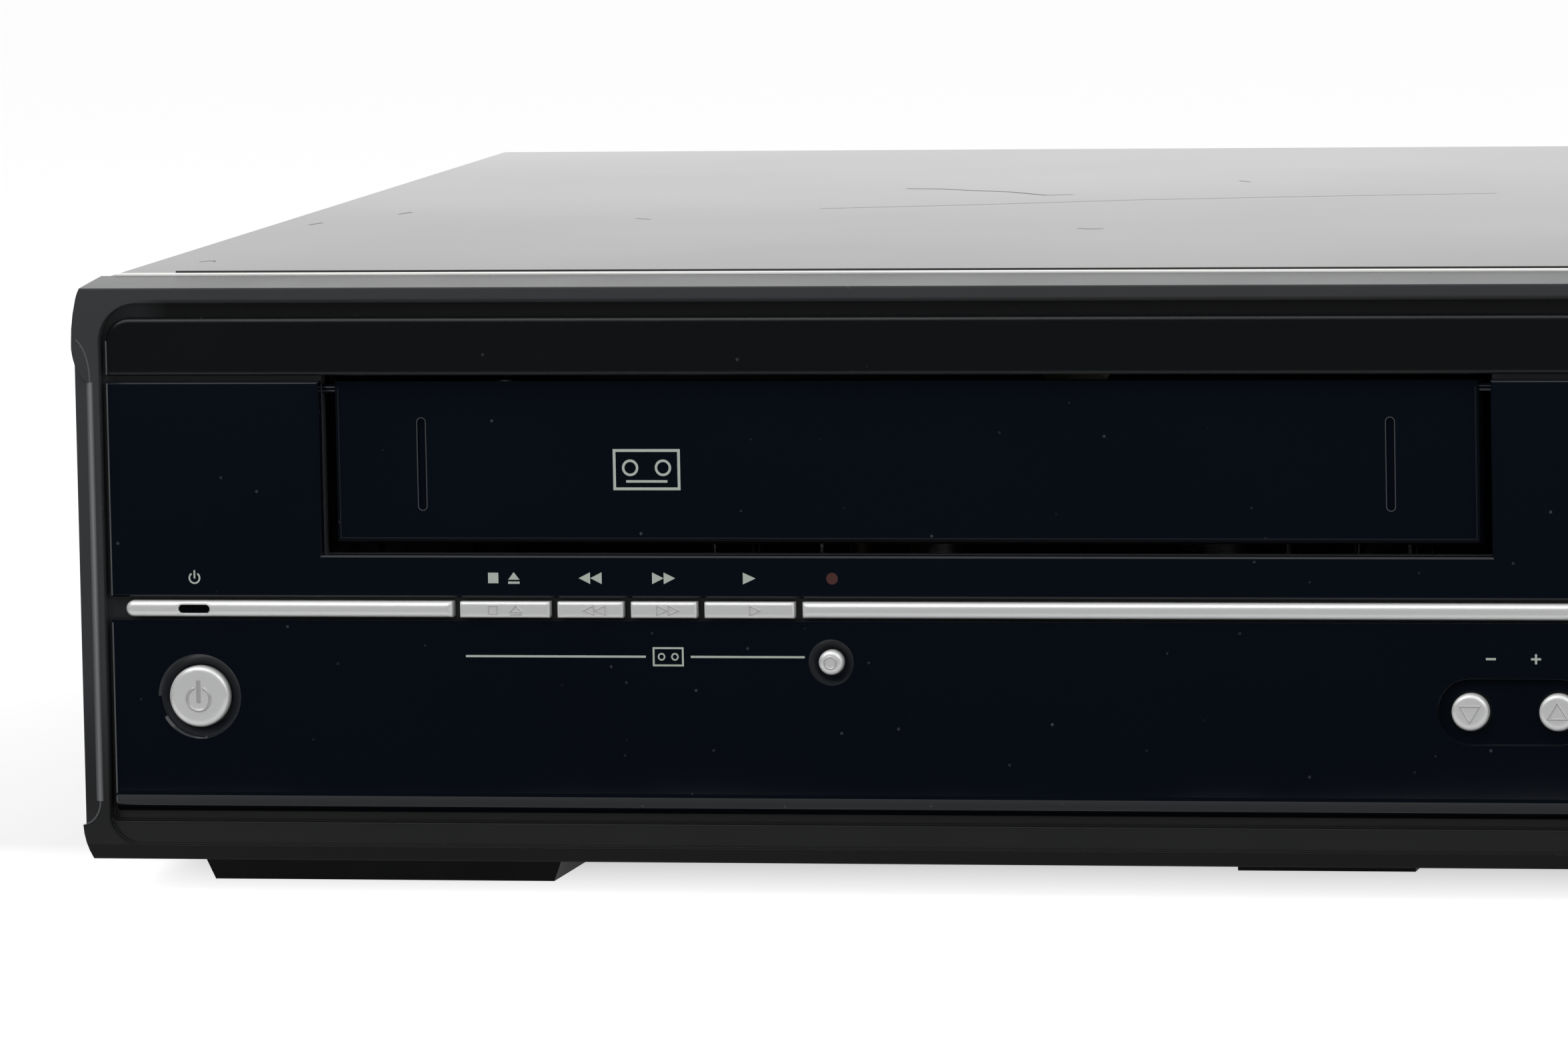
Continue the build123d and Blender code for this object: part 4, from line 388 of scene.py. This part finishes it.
# Cassette deck. A pressed and zinc-plated plate that carries the rails, the reels and the tape
# path; rails and sliders are folded from the same sheet and riveted.
zinc = finish(
    "zinc_steel", (0.30, 0.30, 0.28), (0.22, 0.23, 0.22), 0.40,
    patch=90.0, metallic=0.9, rounded=0.0003,
)
dress(zinc, "deck_plate", "basket_rails", "basket_sliders", "pinch_arm", "clamp_bridge")

# Cassette basket. Sheet steel, cut, folded and blackened. It hangs on the sliders, takes the
# cassette from behind the flap and lowers it on the reel tables.
dress(
    finish(
        "basket_sheet", (0.035, 0.035, 0.036), (0.022, 0.022, 0.023), 0.5,
        metallic=0.4, rounded=0.0003,
    ),
    "cassette_basket",
)

# Reel tables. Dark grey moulded plastic on steel shafts that stand in the deck plate. Their
# spindles turn the two hubs of the cassette.
dress(
    finish("reel_plastic", (0.050, 0.050, 0.052), (0.036, 0.036, 0.038), 0.42, rounded=0.0003),
    "supply_reel", "takeup_reel",
)

# Head drum. Two halves of cast aluminium, turned to a fine finish with a diamond. The lower one
# is screwed to the deck plate, and the upper one spins on its bearing.
turned, nodes, links, shader = new_material("turned_aluminium")
shader.inputs["Base Color"].default_value = (0.40, 0.40, 0.41, 1)
shader.inputs["Metallic"].default_value = 1.0
place = nodes.new("ShaderNodeTexCoord")
lathe_lines = nodes.new("ShaderNodeTexWave")
lathe_lines.wave_type = "BANDS"
lathe_lines.bands_direction = "Z"
lathe_lines.inputs["Scale"].default_value = 1500.0
lathe_lines.inputs["Distortion"].default_value = 0.4
links.new(place.outputs["Object"], lathe_lines.inputs["Vector"])
smoothest, roughest = 0.16, 0.30
turned_gloss = graded(nodes, links, lathe_lines.outputs["Fac"], 0.0, 1.0, smoothest, roughest)
links.new(turned_gloss, shader.inputs["Roughness"])
relief = nodes.new("ShaderNodeBump")
relief.inputs["Distance"].default_value = 0.000003
links.new(lathe_lines.outputs["Fac"], relief.inputs["Height"])
links.new(relief.outputs["Normal"], shader.inputs["Normal"])
dress(turned, "drum_base", "head_drum")

# Capstan, tape heads, tape guides and guide rods. Ground and polished steel, pressed or screwed
# into the deck plate and the pickup unit, except for the capstan, which turns in a long bearing.
ground = finish("ground_steel", (0.60, 0.60, 0.60), (0.50, 0.50, 0.51), 0.2, metallic=1.0)
dress(ground, "capstan", "tape_heads", "pickup_rods")
dress(
    finish("guide_steel", (0.66, 0.65, 0.62), (0.55, 0.55, 0.54), 0.22, metallic=1.0),
    "left_guide", "right_guide",
)

# Pinch roller. Black rubber moulded on a sleeve that turns on the arm's pin. The arm presses it
# and the tape against the capstan.
dress(
    finish("roller_rubber", (0.020, 0.020, 0.020), (0.012, 0.012, 0.012), 0.62, bump=0.00006),
    "pinch_roller",
)

# Motors. Drawn steel cans with a bare, slightly dull skin: the loading motor on the cassette
# deck and the spindle motor under the disc.
dress(
    finish("motor_can", (0.46, 0.46, 0.44), (0.36, 0.36, 0.35), 0.3, metallic=1.0),
    "loading_motor", "spindle_motor",
)

# Disc loader. A frame, a plate and a tray in dark moulded plastic, on the chassis posts, with the
# gear that drives the tray's rack. The gear is pale acetal, which needs no grease.
dress(
    finish("loader_plastic", (0.030, 0.030, 0.032), (0.022, 0.022, 0.024), 0.45, rounded=0.0003),
    "loader_frame", "traverse",
)
dress(
    finish("tray_plastic", (0.022, 0.022, 0.024), (0.014, 0.014, 0.016), 0.38, rounded=0.0004),
    "disc_tray", "turntable", "disc_clamp",
)
dress(finish("gear_plastic", (0.60, 0.58, 0.50), (0.52, 0.50, 0.43), 0.4), "tray_gear")

# Optical pickup. A sled of dark cast metal with its lens on top. It runs on the two guide rods,
# from the middle of the disc to its rim.
dress(
    finish("pickup_casting", (0.035, 0.036, 0.040), (0.022, 0.022, 0.026), 0.35),
    "pickup",
)

# Rear panel with its sockets. Painted sheet, screwed to the tub, with moulded blocks behind it.
# The phono jacks have plated sleeves, and collars in the three colours that tell them apart.
dress(
    finish("rear_paint", (0.022, 0.022, 0.023), (0.016, 0.016, 0.017), 0.42, bump=0.00005),
    "rear_panel",
)
dress(
    finish("socket_plastic", (0.012, 0.012, 0.012), (0.008, 0.008, 0.008), 0.35, rounded=0.0003),
    "socket_blocks", "mains_inlet",
)
dress(
    finish(
        "plated_sleeve", (0.75, 0.72, 0.62), (0.66, 0.63, 0.55), 0.2, metallic=1.0, rounded=0.0002
    ),
    "jack_sleeves",
)
for colour, tone, other in (
    ("yellow", (0.80, 0.50, 0.020), (0.72, 0.44, 0.018)),
    ("white", (0.78, 0.78, 0.75), (0.70, 0.70, 0.67)),
    ("red", (0.55, 0.015, 0.012), (0.47, 0.012, 0.010)),
):
    dress(finish(colour + "_collar", tone, other, 0.35, rounded=0.0002), colour + "_jack_collars")

# Front moulding and the strip along its head. Black polystyrene with a fine spark-eroded texture,
# clipped to the tub; the strip is smoother and pressed into its recess. Painted shade darkens the
# moulding's colour towards its foot and in the recess above the strip.
frame_black = finish(
    "frame_plastic", (0.050, 0.052, 0.055), (0.045, 0.047, 0.050), 0.26,
    spread=0.02, bump=0.000004, grain=3200.0, rounded=0.0004, dust=160.0,
)
nodes, links = frame_black.node_tree.nodes, frame_black.node_tree.links
shader = nodes["Principled BSDF"]
shader.inputs["Specular IOR Level"].default_value = 0.25


def from_middle(nodes, links):
    """How far a point of the surface lies from the player's middle, to either side."""
    sideways = nodes.new("ShaderNodeMath")
    sideways.operation = "ABSOLUTE"
    links.new(position(nodes, links, "X"), sideways.inputs[0])
    return sideways.outputs["Value"]


frame_foot_z, frame_head_z = 0.006, 0.100
height = position(nodes, links, "Z")
# Painted shade: the moulding's colour darkens towards its foot.
foot_shade_and_front_dullness = toned(
    nodes, links, graded(nodes, links, height, frame_foot_z, frame_head_z),
    (0.0, (0.05, 0.05, 0.055)),
    (0.023, (0.06, 0.06, 0.06)),
    (0.027, (0.26, 0.26, 0.26)),
    (0.08, (0.26, 0.26, 0.26)),
    (0.30, (0.95, 0.95, 0.95)),
    (1.0, (1, 1, 1)),
)
moulded = shader.inputs["Base Color"].links[0].from_socket
shaded_moulding = mixed(nodes, links, 1.0, moulded, foot_shade_and_front_dullness, blend="MULTIPLY")
# Painted shade: the lip above the strip is mixed towards near black, as the shadow in the recess.
lip_shade, lip_tone = 0.62, (0.002, 0.002, 0.002, 1)
lip_ends, lip_head, lip_foot = (0.2070, 0.2020), (0.0974, 0.0969), (0.0930, 0.0935)
in_lip = graded(nodes, links, from_middle(nodes, links), *lip_ends, 0.0, lip_shade)
for lip_edge in (lip_head, lip_foot):
    in_lip = combined(nodes, links, "MULTIPLY", in_lip, graded(nodes, links, height, *lip_edge))
links.new(mixed(nodes, links, in_lip, shaded_moulding, lip_tone), shader.inputs["Base Color"])
dress(frame_black, "front_bezel")
dress(
    finish(
        "strip_plastic", (0.0070, 0.0084, 0.0095), (0.0052, 0.0062, 0.0072), 0.20,
        bump=0.00001, rounded=0.0006, dust=190.0,
    ),
    "upper_strip",
)

# Glossy panels, flap and tray front. Black polished plastic with a blue cast, heat-staked to the
# moulding, with moulding marks and dust, and edges broken by a small radius. The windows of the
# display and the standby light are smoked and clearer.
gloss_black = finish(
    "panel_gloss", (0.0040, 0.0062, 0.0108), (0.0032, 0.0050, 0.0088), 0.06,
    spread=0.03, bump=0.000001, patch=25.0, grain=60.0, rounded=0.00006, dust=210.0,
)
dress(gloss_black, "main_panel", "lower_panel", "cassette_flap", "tray_fascia")
dress(
    finish(
        "smoked_window", (0.0024, 0.0028, 0.0034), (0.0016, 0.0019, 0.0024), 0.05,
        spread=0.02, bump=0.000001, grain=60.0, dust=180.0,
    ),
    "display_window", "standby_window",
)

# Printed marks. Pale ink, pad-printed on the panels: plain signs for the keys below them, with a
# rule under each group of keys. They lie a few hundredths of a millimetre proud of the gloss.
print_lift = 0.04


def line_edges(points, wide, closed):
    """The two mitred edges of a line of even width drawn through flat points."""
    spots = [Vector(point) for point in points]
    count = len(spots)
    shortest_mitre = 0.3
    left, right = [], []
    for number, here in enumerate(spots):
        ways = []
        if closed or number > 0:
            ways.append((here - spots[number - 1]).normalized())
        if closed or number < count - 1:
            ways.append((spots[(number + 1) % count] - here).normalized())
        sides = [Vector((-way.y, way.x)) for way in ways]
        across = sum(sides, Vector((0, 0))).normalized()
        reach = wide / 2 / max(across.dot(sides[0]), shortest_mitre)
        left.append(here + across * reach)
        right.append(here - across * reach)
    return left, right


def add_marks(name, body, material, face_y, lines=(), fills=(), raised=0.0):
    """Lines and filled shapes on a front face, flat like ink or raised to a ridge like moulding."""
    points, faces = [], []
    for line, wide, closed in lines:
        left, right = line_edges(line, wide, closed)
        rows = [(right, 0.0), (left, 0.0)]
        if raised:
            rows.insert(1, (line, raised))
        count = len(line)
        base = len(points)
        for row, rise in rows:
            points += [(x * mm, (face_y - rise) * mm, z * mm) for x, z in row]
        for row in range(len(rows) - 1):
            for number in range(count if closed else count - 1):
                near = base + row * count + number
                far = base + row * count + (number + 1) % count
                faces.append((near, far, far + count, near + count))
    for shape in fills:
        base = len(points)
        points += [(x * mm, face_y * mm, z * mm) for x, z in shape]
        faces.append(tuple(range(base, base + len(shape))))
    made = add_mesh(name, points, faces)
    made.data.materials.append(material)
    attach(made, body)


def ring(x, z, radius, start=0.0, end=360.0, steps=36):
    """Points round a circle, or part of one, from start to end in degrees."""
    whole = end - start == 360.0
    return [
        (
            x + radius * math.cos(math.radians(start + (end - start) * step / steps)),
            z + radius * math.sin(math.radians(start + (end - start) * step / steps)),
        )
        for step in range(steps if whole else steps + 1)
    ]


def arrow(x, z, wide, tall, way):
    """A triangle that points right for 1, left for -1."""
    corners = [
        (x - way * wide / 2, z - tall / 2),
        (x + way * wide / 2, z),
        (x - way * wide / 2, z + tall / 2),
    ]
    return corners if way > 0 else corners[::-1]


def box_points(x, z, wide, tall):
    """The corners of an upright rectangle."""
    signs = ((-1, -1), (1, -1), (1, 1), (-1, 1))
    return [(x + sx * wide / 2, z + sz * tall / 2) for sx, sz in signs]


def eject_marks(x, z, size):
    """A triangle over a bar."""
    return [
        [(x - size / 2, z - size * 0.15), (x + size / 2, z - size * 0.15), (x, z + size / 2)],
        box_points(x, z - size * 0.4, size, size * 0.2),
    ]


def key_middle(node_name):
    """The middle of a key's front, across and up, in millimetres."""
    low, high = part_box(node_name)
    return (low.x + high.x) / 2 / mm, (low.z + high.z) / 2 / mm


ink = finish("pale_ink", (0.50, 0.56, 0.50), (0.42, 0.48, 0.43), 0.5, bump=0.000004, patch=900.0)
red_ink = finish(
    "dark_red_ink", (0.085, 0.022, 0.016), (0.055, 0.015, 0.012), 0.5, bump=0.000004, patch=900.0
)
panel_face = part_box("main_panel")[0].y / mm - print_lift
flap_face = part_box("cassette_flap")[0].y / mm - print_lift
sign_z = 52.0
sign_size = 1.9
block_size = sign_size * 0.9
play_length = sign_size * 1.1
eject_shift = 1.5
stop_x, rewind_x, forward_x, play_x = (
    key_middle(node_name)[0]
    for node_name in ("stop_eject_button", "rewind_button", "fast_forward_button", "play_button")
)
disc_play_x, disc_stop_x, disc_open_x = (
    key_middle(node_name)[0]
    for node_name in ("disc_play_button", "disc_stop_button", "disc_open_button")
)
add_marks(
    "key_signs", "chassis", ink, panel_face,
    fills=[
        box_points(stop_x - sign_size, sign_z, block_size, block_size),
        *eject_marks(stop_x + eject_shift, sign_z, sign_size),
        arrow(rewind_x - sign_size / 2, sign_z, sign_size, sign_size, -1),
        arrow(rewind_x + sign_size / 2, sign_z, sign_size, sign_size, -1),
        arrow(forward_x - sign_size / 2, sign_z, sign_size, sign_size, 1),
        arrow(forward_x + sign_size / 2, sign_z, sign_size, sign_size, 1),
        arrow(play_x, sign_z, play_length, sign_size, 1),
        arrow(disc_play_x, sign_z, play_length, sign_size, 1),
        box_points(disc_stop_x, sign_z, block_size, block_size),
        *eject_marks(disc_open_x, sign_z, sign_size),
    ],
)
power_x, power_z = key_middle("power_button")
record_x, record_z = key_middle("record_button")
sign_shift = 0.4
standby_x = power_x - sign_shift
standby_line = 0.28
add_marks(
    "standby_sign", "chassis", ink, panel_face,
    lines=[
        (ring(standby_x, sign_z - 0.1, 0.85, 125.0, 415.0), standby_line, False),
        ([(standby_x, sign_z - 0.2), (standby_x, sign_z + 1.15)], standby_line, False),
    ],
)
add_marks(
    "record_sign", "chassis", red_ink, panel_face,
    fills=[ring(record_x + sign_shift, sign_z, sign_size / 2)],
)
rule_z = 39.3
rule_left, rule_right = -153.1, -97.3
rule_gap = (-123.4, -116.0)
rule_gap_x = sum(rule_gap) / 2
rule_wide = 0.35
add_marks(
    "cassette_rule", "chassis", ink, panel_face,
    lines=[
        ([(rule_left, rule_z), (rule_gap[0], rule_z)], rule_wide, False),
        ([(rule_gap[1], rule_z), (rule_right, rule_z)], rule_wide, False),
        (box_points(rule_gap_x, rule_z, 4.8, 2.8), 0.30, True),
        (ring(rule_gap_x - 1.1, rule_z, 0.5, steps=16), 0.25, True),
        (ring(rule_gap_x + 1.1, rule_z, 0.5, steps=16), 0.25, True),
    ],
)
disc_rule = (disc_play_x - 7.4, disc_open_x + 7.4)
disc_rule_x = sum(disc_rule) / 2
disc_rule_gap = 2.8
add_marks(
    "disc_rule", "chassis", ink, panel_face,
    lines=[
        ([(disc_rule[0], rule_z), (disc_rule_x - disc_rule_gap, rule_z)], rule_wide, False),
        ([(disc_rule_x + disc_rule_gap, rule_z), (disc_rule[1], rule_z)], rule_wide, False),
        (ring(disc_rule_x, rule_z, 1.5), 0.30, True),
        (ring(disc_rule_x, rule_z, 0.4, steps=16), 0.25, True),
    ],
)
down_x, up_x = key_middle("programme_down_button")[0], key_middle("programme_up_button")[0]
programme_x = (down_x + up_x) / 2
programme_z = 39.4
near_end, far_end = 2.8, 4.4
plus_x, plus_half = programme_x + 3.6, 0.8
add_marks(
    "programme_sign", "chassis", ink, panel_face,
    lines=[
        (line, rule_wide, False)
        for line in (
            [(programme_x - far_end, programme_z), (programme_x - near_end, programme_z)],
            [(programme_x + near_end, programme_z), (programme_x + far_end, programme_z)],
            [(plus_x, programme_z - plus_half), (plus_x, programme_z - rule_wide / 2)],
            [(plus_x, programme_z + rule_wide / 2), (plus_x, programme_z + plus_half)],
        )
    ],
)
cassette_x, cassette_z = -123.2, 69.3
hub_shift, hub_wide = 2.7, 0.40
tape_z = cassette_z - 1.9
tape_line = [(cassette_x - 3.4, tape_z), (cassette_x + 3.4, tape_z)]
add_marks(
    "cassette_sign", "flap", ink, flap_face,
    lines=[
        (box_points(cassette_x, cassette_z, 10.6, 6.2), 0.45, True),
        (ring(cassette_x - hub_shift, cassette_z + 0.3, 1.15, steps=24), hub_wide, True),
        (ring(cassette_x + hub_shift, cassette_z + 0.3, 1.15, steps=24), hub_wide, True),
        (tape_line, hub_wide, False),
    ],
)

# Highlights on the flap's moulded edges. Two finger grooves and a bevel round the flap, polished
# with it; the light their corners catch is painted as fine pale lines. They turn with the flap.
groove_shine = finish(
    "groove_shine", (0.075, 0.080, 0.088), (0.050, 0.054, 0.060), 0.3, bump=0.000004, patch=300.0
)
groove_z, groove_half, groove_round = 70.2, 6.8, 0.72
for groove_name, groove_x in (("left_groove_highlight", -160.3), ("right_groove_highlight", -2.4)):
    groove_line = ring(groove_x, groove_z + groove_half, groove_round, 0.0, 180.0, 10)
    groove_line += ring(groove_x, groove_z - groove_half, groove_round, 180.0, 360.0, 10)
    add_marks(
        groove_name, "flap", groove_shine, flap_face,
        lines=[(groove_line, 0.16, True)],
    )
bevel_shine = finish(
    "bevel_shine", (0.016, 0.018, 0.021), (0.008, 0.010, 0.012), 0.3, bump=0.000004, patch=60.0
)
bevel_left, bevel_right, bevel_foot, bevel_head = -174.0, 11.3, 58.2, 82.6
bevel_line = [
    (bevel_left, bevel_head),
    (bevel_left, bevel_foot),
    (bevel_right, bevel_foot),
    (bevel_right, bevel_head),
]
add_marks(
    "flap_bevel_highlight", "flap", bevel_shine, flap_face,
    lines=[(bevel_line, 0.22, False)],
)

# Polished edges, with painted highlights. Pale strips along the frame's long side ridges stand for
# the light these ridges catch, and the upright edges of the panels, where the gloss was broken, get
# a fine pale line as a painted highlight.
ridge_x, ridge_low, ridge_high = 214.5, 15.4, 83.8
ridge_inside, ridge_outside = 0.55, 0.75
chamfer_slope = 2.0 / 3.0
ridge_lift = 0.03
ridge_face = front_y / mm - ridge_lift
ridge_profile = (
    (ridge_x - ridge_inside, ridge_face),
    (ridge_x, ridge_face),
    (ridge_x + ridge_outside, ridge_face + ridge_outside * chamfer_slope),
)
ridge_paint, nodes, links, shader = new_material("ridge_painted_highlight")
shader.inputs["Roughness"].default_value = 0.3
shader.inputs["Specular IOR Level"].default_value = 0.25
across = graded(
    nodes, links, from_middle(nodes, links), ridge_profile[0][0] * mm, ridge_profile[2][0] * mm
)
# Painted highlight: a pale band across the ridge, darker on both sides.
ridge_highlight_tone = toned(
    nodes, links, across,
    (0.0, (0.050, 0.052, 0.055)), (0.42, (0.225, 0.230, 0.240)), (1.0, (0.060, 0.062, 0.066)),
)
links.new(ridge_highlight_tone, shader.inputs["Base Color"])
for side_name, side in (("left", -1), ("right", 1)):
    ridge = add_mesh(
        side_name + "_frame_ridge",
        [
            (side * x * mm, y * mm, z * mm)
            for x, y in ridge_profile
            for z in (ridge_low, ridge_high)
        ],
        [
            (2 * row, 2 * row + 2, 2 * row + 3, 2 * row + 1)[::side]
            for row in range(len(ridge_profile) - 1)
        ],
    )
    ridge.data.materials.append(ridge_paint)
    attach(ridge, "chassis")
# Painted highlight: pale curves where the ridges run out to the frame's side.
arc_tone = finish(
    "arc_shine", (0.105, 0.110, 0.115), (0.085, 0.090, 0.095), 0.3, bump=0.0, patch=120.0
)
side_x, head_rise, foot_drop = 217.5, 7.2, 3.8
arc_wide, arc_span, arc_steps = 0.26, 75, 10


def ridge_arc(side, start_z, rise):
    """The curve of a ridge's end, from the ridge out to the frame's side."""
    turns = [math.radians(arc_span * step / arc_steps) for step in range(arc_steps + 1)]
    return [
        (side * (side_x - (side_x - ridge_x) * math.cos(turn)), start_z + rise * math.sin(turn))
        for turn in turns
    ]


for arc_name, start_z, rise in (("head", ridge_high, head_rise), ("foot", ridge_low, -foot_drop)):
    add_marks(
        "frame_ridge_" + arc_name, "chassis", arc_tone, ridge_face,
        lines=[(ridge_arc(side, start_z, rise), arc_wide, False) for side in (-1, 1)],
    )
# Painted highlight: fine pale lines on the panels' upright edges.
edge_shine = finish(
    "edge_shine", (0.115, 0.120, 0.125), (0.075, 0.080, 0.085), 0.3, bump=0.0, patch=120.0
)
panel_edge_x, panel_edge_wide = 211.86, 0.24
add_marks(
    "panel_edge_shine", "chassis", edge_shine, panel_face,
    lines=[
        ([(side * panel_edge_x, low), (side * panel_edge_x, high)], panel_edge_wide, False)
        for side in (-1, 1)
        for low, high in ((15.2, 44.6), (49.0, 83.6), (85.0, 90.5))
    ],
)

# Silver bar and keys. Moulded, then sprayed with fine aluminium paint and clear varnish. The
# signs on the keys are moulded as low ridges under the paint, with painted shade that makes them
# darker than the faces.
silver = finish(
    "silver_paint", (0.955, 0.96, 0.955), (0.925, 0.93, 0.935), 0.30,
    metallic=0.4, bump=0.0, patch=2500.0, rounded=0.0007, spread=0.015,
)
# Painted shade: the ridges' silver is a darker copy of the key faces' silver.
shaded_silver_relief = finish(
    "shaded_silver_relief", (0.60, 0.60, 0.60), (0.50, 0.50, 0.50), 0.34,
    metallic=0.3, bump=0.0, patch=2500.0, spread=0.015,
)
dress(
    silver,
    "trim_bars", "stop_eject_button", "rewind_button", "fast_forward_button", "play_button",
    "disc_play_button", "disc_stop_button", "disc_open_button",
    "power_button", "record_button", "programme_down_button", "programme_up_button",
)
ridge_height = 0.12
ridge_wide = 0.22
key_face = front_y / mm
key_z = key_middle("play_button")[1]
near_arrow, far_arrow = -0.2, 1.7


def add_relief(name, body_name, lines, raised=ridge_height):
    """Signs that stand up from a key's face as low ridges."""
    add_marks(name, body_name, shaded_silver_relief, key_face, lines=lines, raised=raised)


def outline_block(x):
    """A hollow square for a key's face."""
    return (box_points(x, key_z, 1.4, 1.3), ridge_wide, True)


def outline_arrow(x, way, size=1.5):
    """A hollow triangle for a key's face."""
    return (arrow(x, key_z, size * 1.15, size, way), ridge_wide, True)


def outline_eject(x):
    """A hollow triangle over a line for a key's face."""
    return [
        ([(x - 1, key_z - 0.35), (x + 1, key_z - 0.35), (x, key_z + 0.75)], ridge_wide, True),
        ([(x - 1, key_z - 0.75), (x + 1, key_z - 0.75)], ridge_wide, False),
    ]


add_relief(
    "stop_eject_relief", "stop_eject_key",
    [outline_block(stop_x - 1.9), *outline_eject(stop_x + 1.9)],
)
for relief_name, body_name, places, way in (
    ("rewind_relief", "rewind_key", (rewind_x + near_arrow, rewind_x + far_arrow), -1),
    ("fast_forward_relief", "fast_forward_key", (forward_x + near_arrow, forward_x + far_arrow), 1),
    ("play_relief", "play_key", (play_x + 1.0,), 1),
    ("disc_play_relief", "disc_play_key", (disc_play_x,), 1),
):
    add_relief(relief_name, body_name, [outline_arrow(x, way) for x in places])
add_relief("disc_stop_relief", "disc_stop_key", [outline_block(disc_stop_x)])
add_relief("disc_open_relief", "disc_open_key", outline_eject(disc_open_x))
add_relief(
    "power_relief", "power_key",
    [
        (ring(power_x, power_z - 0.35, 1.9, 112.0, 428.0), 0.55, False),
        ([(power_x, power_z - 0.9), (power_x, power_z + 2.7)], 0.75, False),
    ],
    raised=0.18,
)
add_relief("record_relief", "record_key", [(ring(record_x, record_z, 0.95), 0.35, True)])
programme_half = 1.6
for relief_name, body_name, node_name, up in (
    ("programme_down_relief", "programme_down_key", "programme_down_button", -1),
    ("programme_up_relief", "programme_up_key", "programme_up_button", 1),
):
    x, z = key_middle(node_name)
    corners = [
        (x - programme_half, z - up * 1.0),
        (x + programme_half, z - up * 1.0),
        (x, z + up * programme_half),
    ]
    add_relief(relief_name, body_name, [(corners, 0.28, True)], raised=0.15)

# Top cover. One folded sheet with a dark satin enamel and a clear bake, slid over the chassis and
# screwed. Its top has the rubbed lines that such a cover gets from what stood on it.
enamel = finish(
    "cover_enamel", (0.0125, 0.0130, 0.0130), (0.0105, 0.0110, 0.0110), 0.14,
    bump=0.000004, spread=0.015, patch=9.0, rounded=0.0004,
    dust=120.0, dust_tone=(0.30, 0.30, 0.29),
)
nodes, links = enamel.node_tree.nodes, enamel.node_tree.links
shader = nodes["Principled BSDF"]
shader.inputs["Coat Weight"].default_value = 0.15
shader.inputs["Coat Roughness"].default_value = 0.04
handled_front, handled_rear = -0.142, 0.146
duller_by = 0.10
foot_shade_and_front_dullness = graded(
    nodes, links, position(nodes, links, "Y"), handled_front, handled_rear, duller_by, 0.0
)
baked = shader.inputs["Roughness"].links[0].from_socket
links.new(combined(nodes, links, "ADD", foot_shade_and_front_dullness, baked), shader.inputs["Roughness"])
dress(enamel, "top_cover")
rub, nodes, links, shader = new_material("rubbed_enamel")
shader.inputs["Roughness"].default_value = 0.55
wear = nodes.new("ShaderNodeTexNoise")
wear.inputs["Scale"].default_value = 300.0
worn_tone = toned(
    nodes, links, wear.outputs["Fac"], (0.0, (0.10, 0.10, 0.095)), (1.0, (0.24, 0.24, 0.23))
)
links.new(worn_tone, shader.inputs["Base Color"])
cover_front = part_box("top_cover")[0].y
rub_lift = 0.02
cover_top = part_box("top_cover")[1].z + rub_lift * mm
points, faces = [], []
for line, wide in (
    ([(-117.5, 45.9), (-111.0, 44.5), (-103.7, 40.1), (-97.0, 36.5), (-89.0, 28.0)], 0.8),
    ([(-89.0, 28.0), (-84.5, 29.5)], 0.5),
    ([(-123.8, -1.2), (-98.0, 6.0), (-71.5, 15.8), (-40.0, 22.5), (-9.3, 27.6)], 0.35),
    ([(-196.9, -10.0), (-195.8, -5.0)], 0.5),
    ([(-207.2, -33.5), (-206.0, -29.0)], 0.6),
    ([(-206.0, -114.0), (-204.2, -111.5), (-203.6, -113.5)], 0.5),
    ([(-70.1, -49.0), (-67.5, -50.4), (-65.5, -49.7)], 0.6),
    ([(-152.0, -22.0), (-149.0, -24.5)], 0.4),
    ([(-60.0, 61.0), (-57.5, 58.0)], 0.4),
):
    left, right = line_edges(line, wide, False)
    base, count = len(points), len(line)
    points += [(x * mm, y * mm, cover_top) for x, y in right + left]
    faces += [
        (base + number, base + number + 1, base + count + number + 1, base + count + number)
        for number in range(count - 1)
    ]
rubbed = add_mesh("cover_rubs", points, faces)
rubbed.data.materials.append(rub)
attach(rubbed, "chassis")

# Hem and bead of the cover. The front hem is folded double, and its front is coloured near white as
# a painted highlight, a bright line above the moulding; the pressed bead behind it rises as a low
# step with a shaded front.


def long_profile(name, half, rows, material):
    """A strip across the cover that follows a profile of depths and heights in millimetres."""
    made = add_mesh(
        name,
        [
            (side * half * mm, cover_front + y * mm, cover_top + z * mm)
            for y, z in rows
            for side in (-1, 1)
        ],
        [(2 * row, 2 * row + 1, 2 * row + 3, 2 * row + 2) for row in range(len(rows) - 1)],
    )
    made.data.materials.append(material)
    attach(made, "chassis")


hem_half, bead_half = 213.0, 203.0
long_profile(
    "cover_hem_edge", hem_half,
    ((-0.05, -0.08), (-0.05, 0.20), (0.12, 0.34), (0.9, 0.36), (1.2, -0.01)),
    finish("hem_painted_highlight", (0.95, 0.95, 0.93), (0.80, 0.80, 0.78), 0.55, bump=0.0, patch=40.0),
)
long_profile(
    "cover_bead_step", bead_half,
    ((0.9, 0.0), (0.95, 0.62), (1.05, 0.68), (2.6, 0.60), (3.2, -0.01)),
    finish("bead_enamel", (0.030, 0.031, 0.032), (0.018, 0.019, 0.020), 0.30, bump=0.0, patch=60.0),
)

# Cover screws. Steel with a black zinc finish and round heads, driven through the cover's sides
# and rear into the tub and the rear panel.
dress(
    finish(
        "black_zinc_screw", (0.05, 0.05, 0.05), (0.03, 0.03, 0.03), 0.3,
        metallic=0.9, rounded=0.0002,
    ),
    "cover_screws",
)
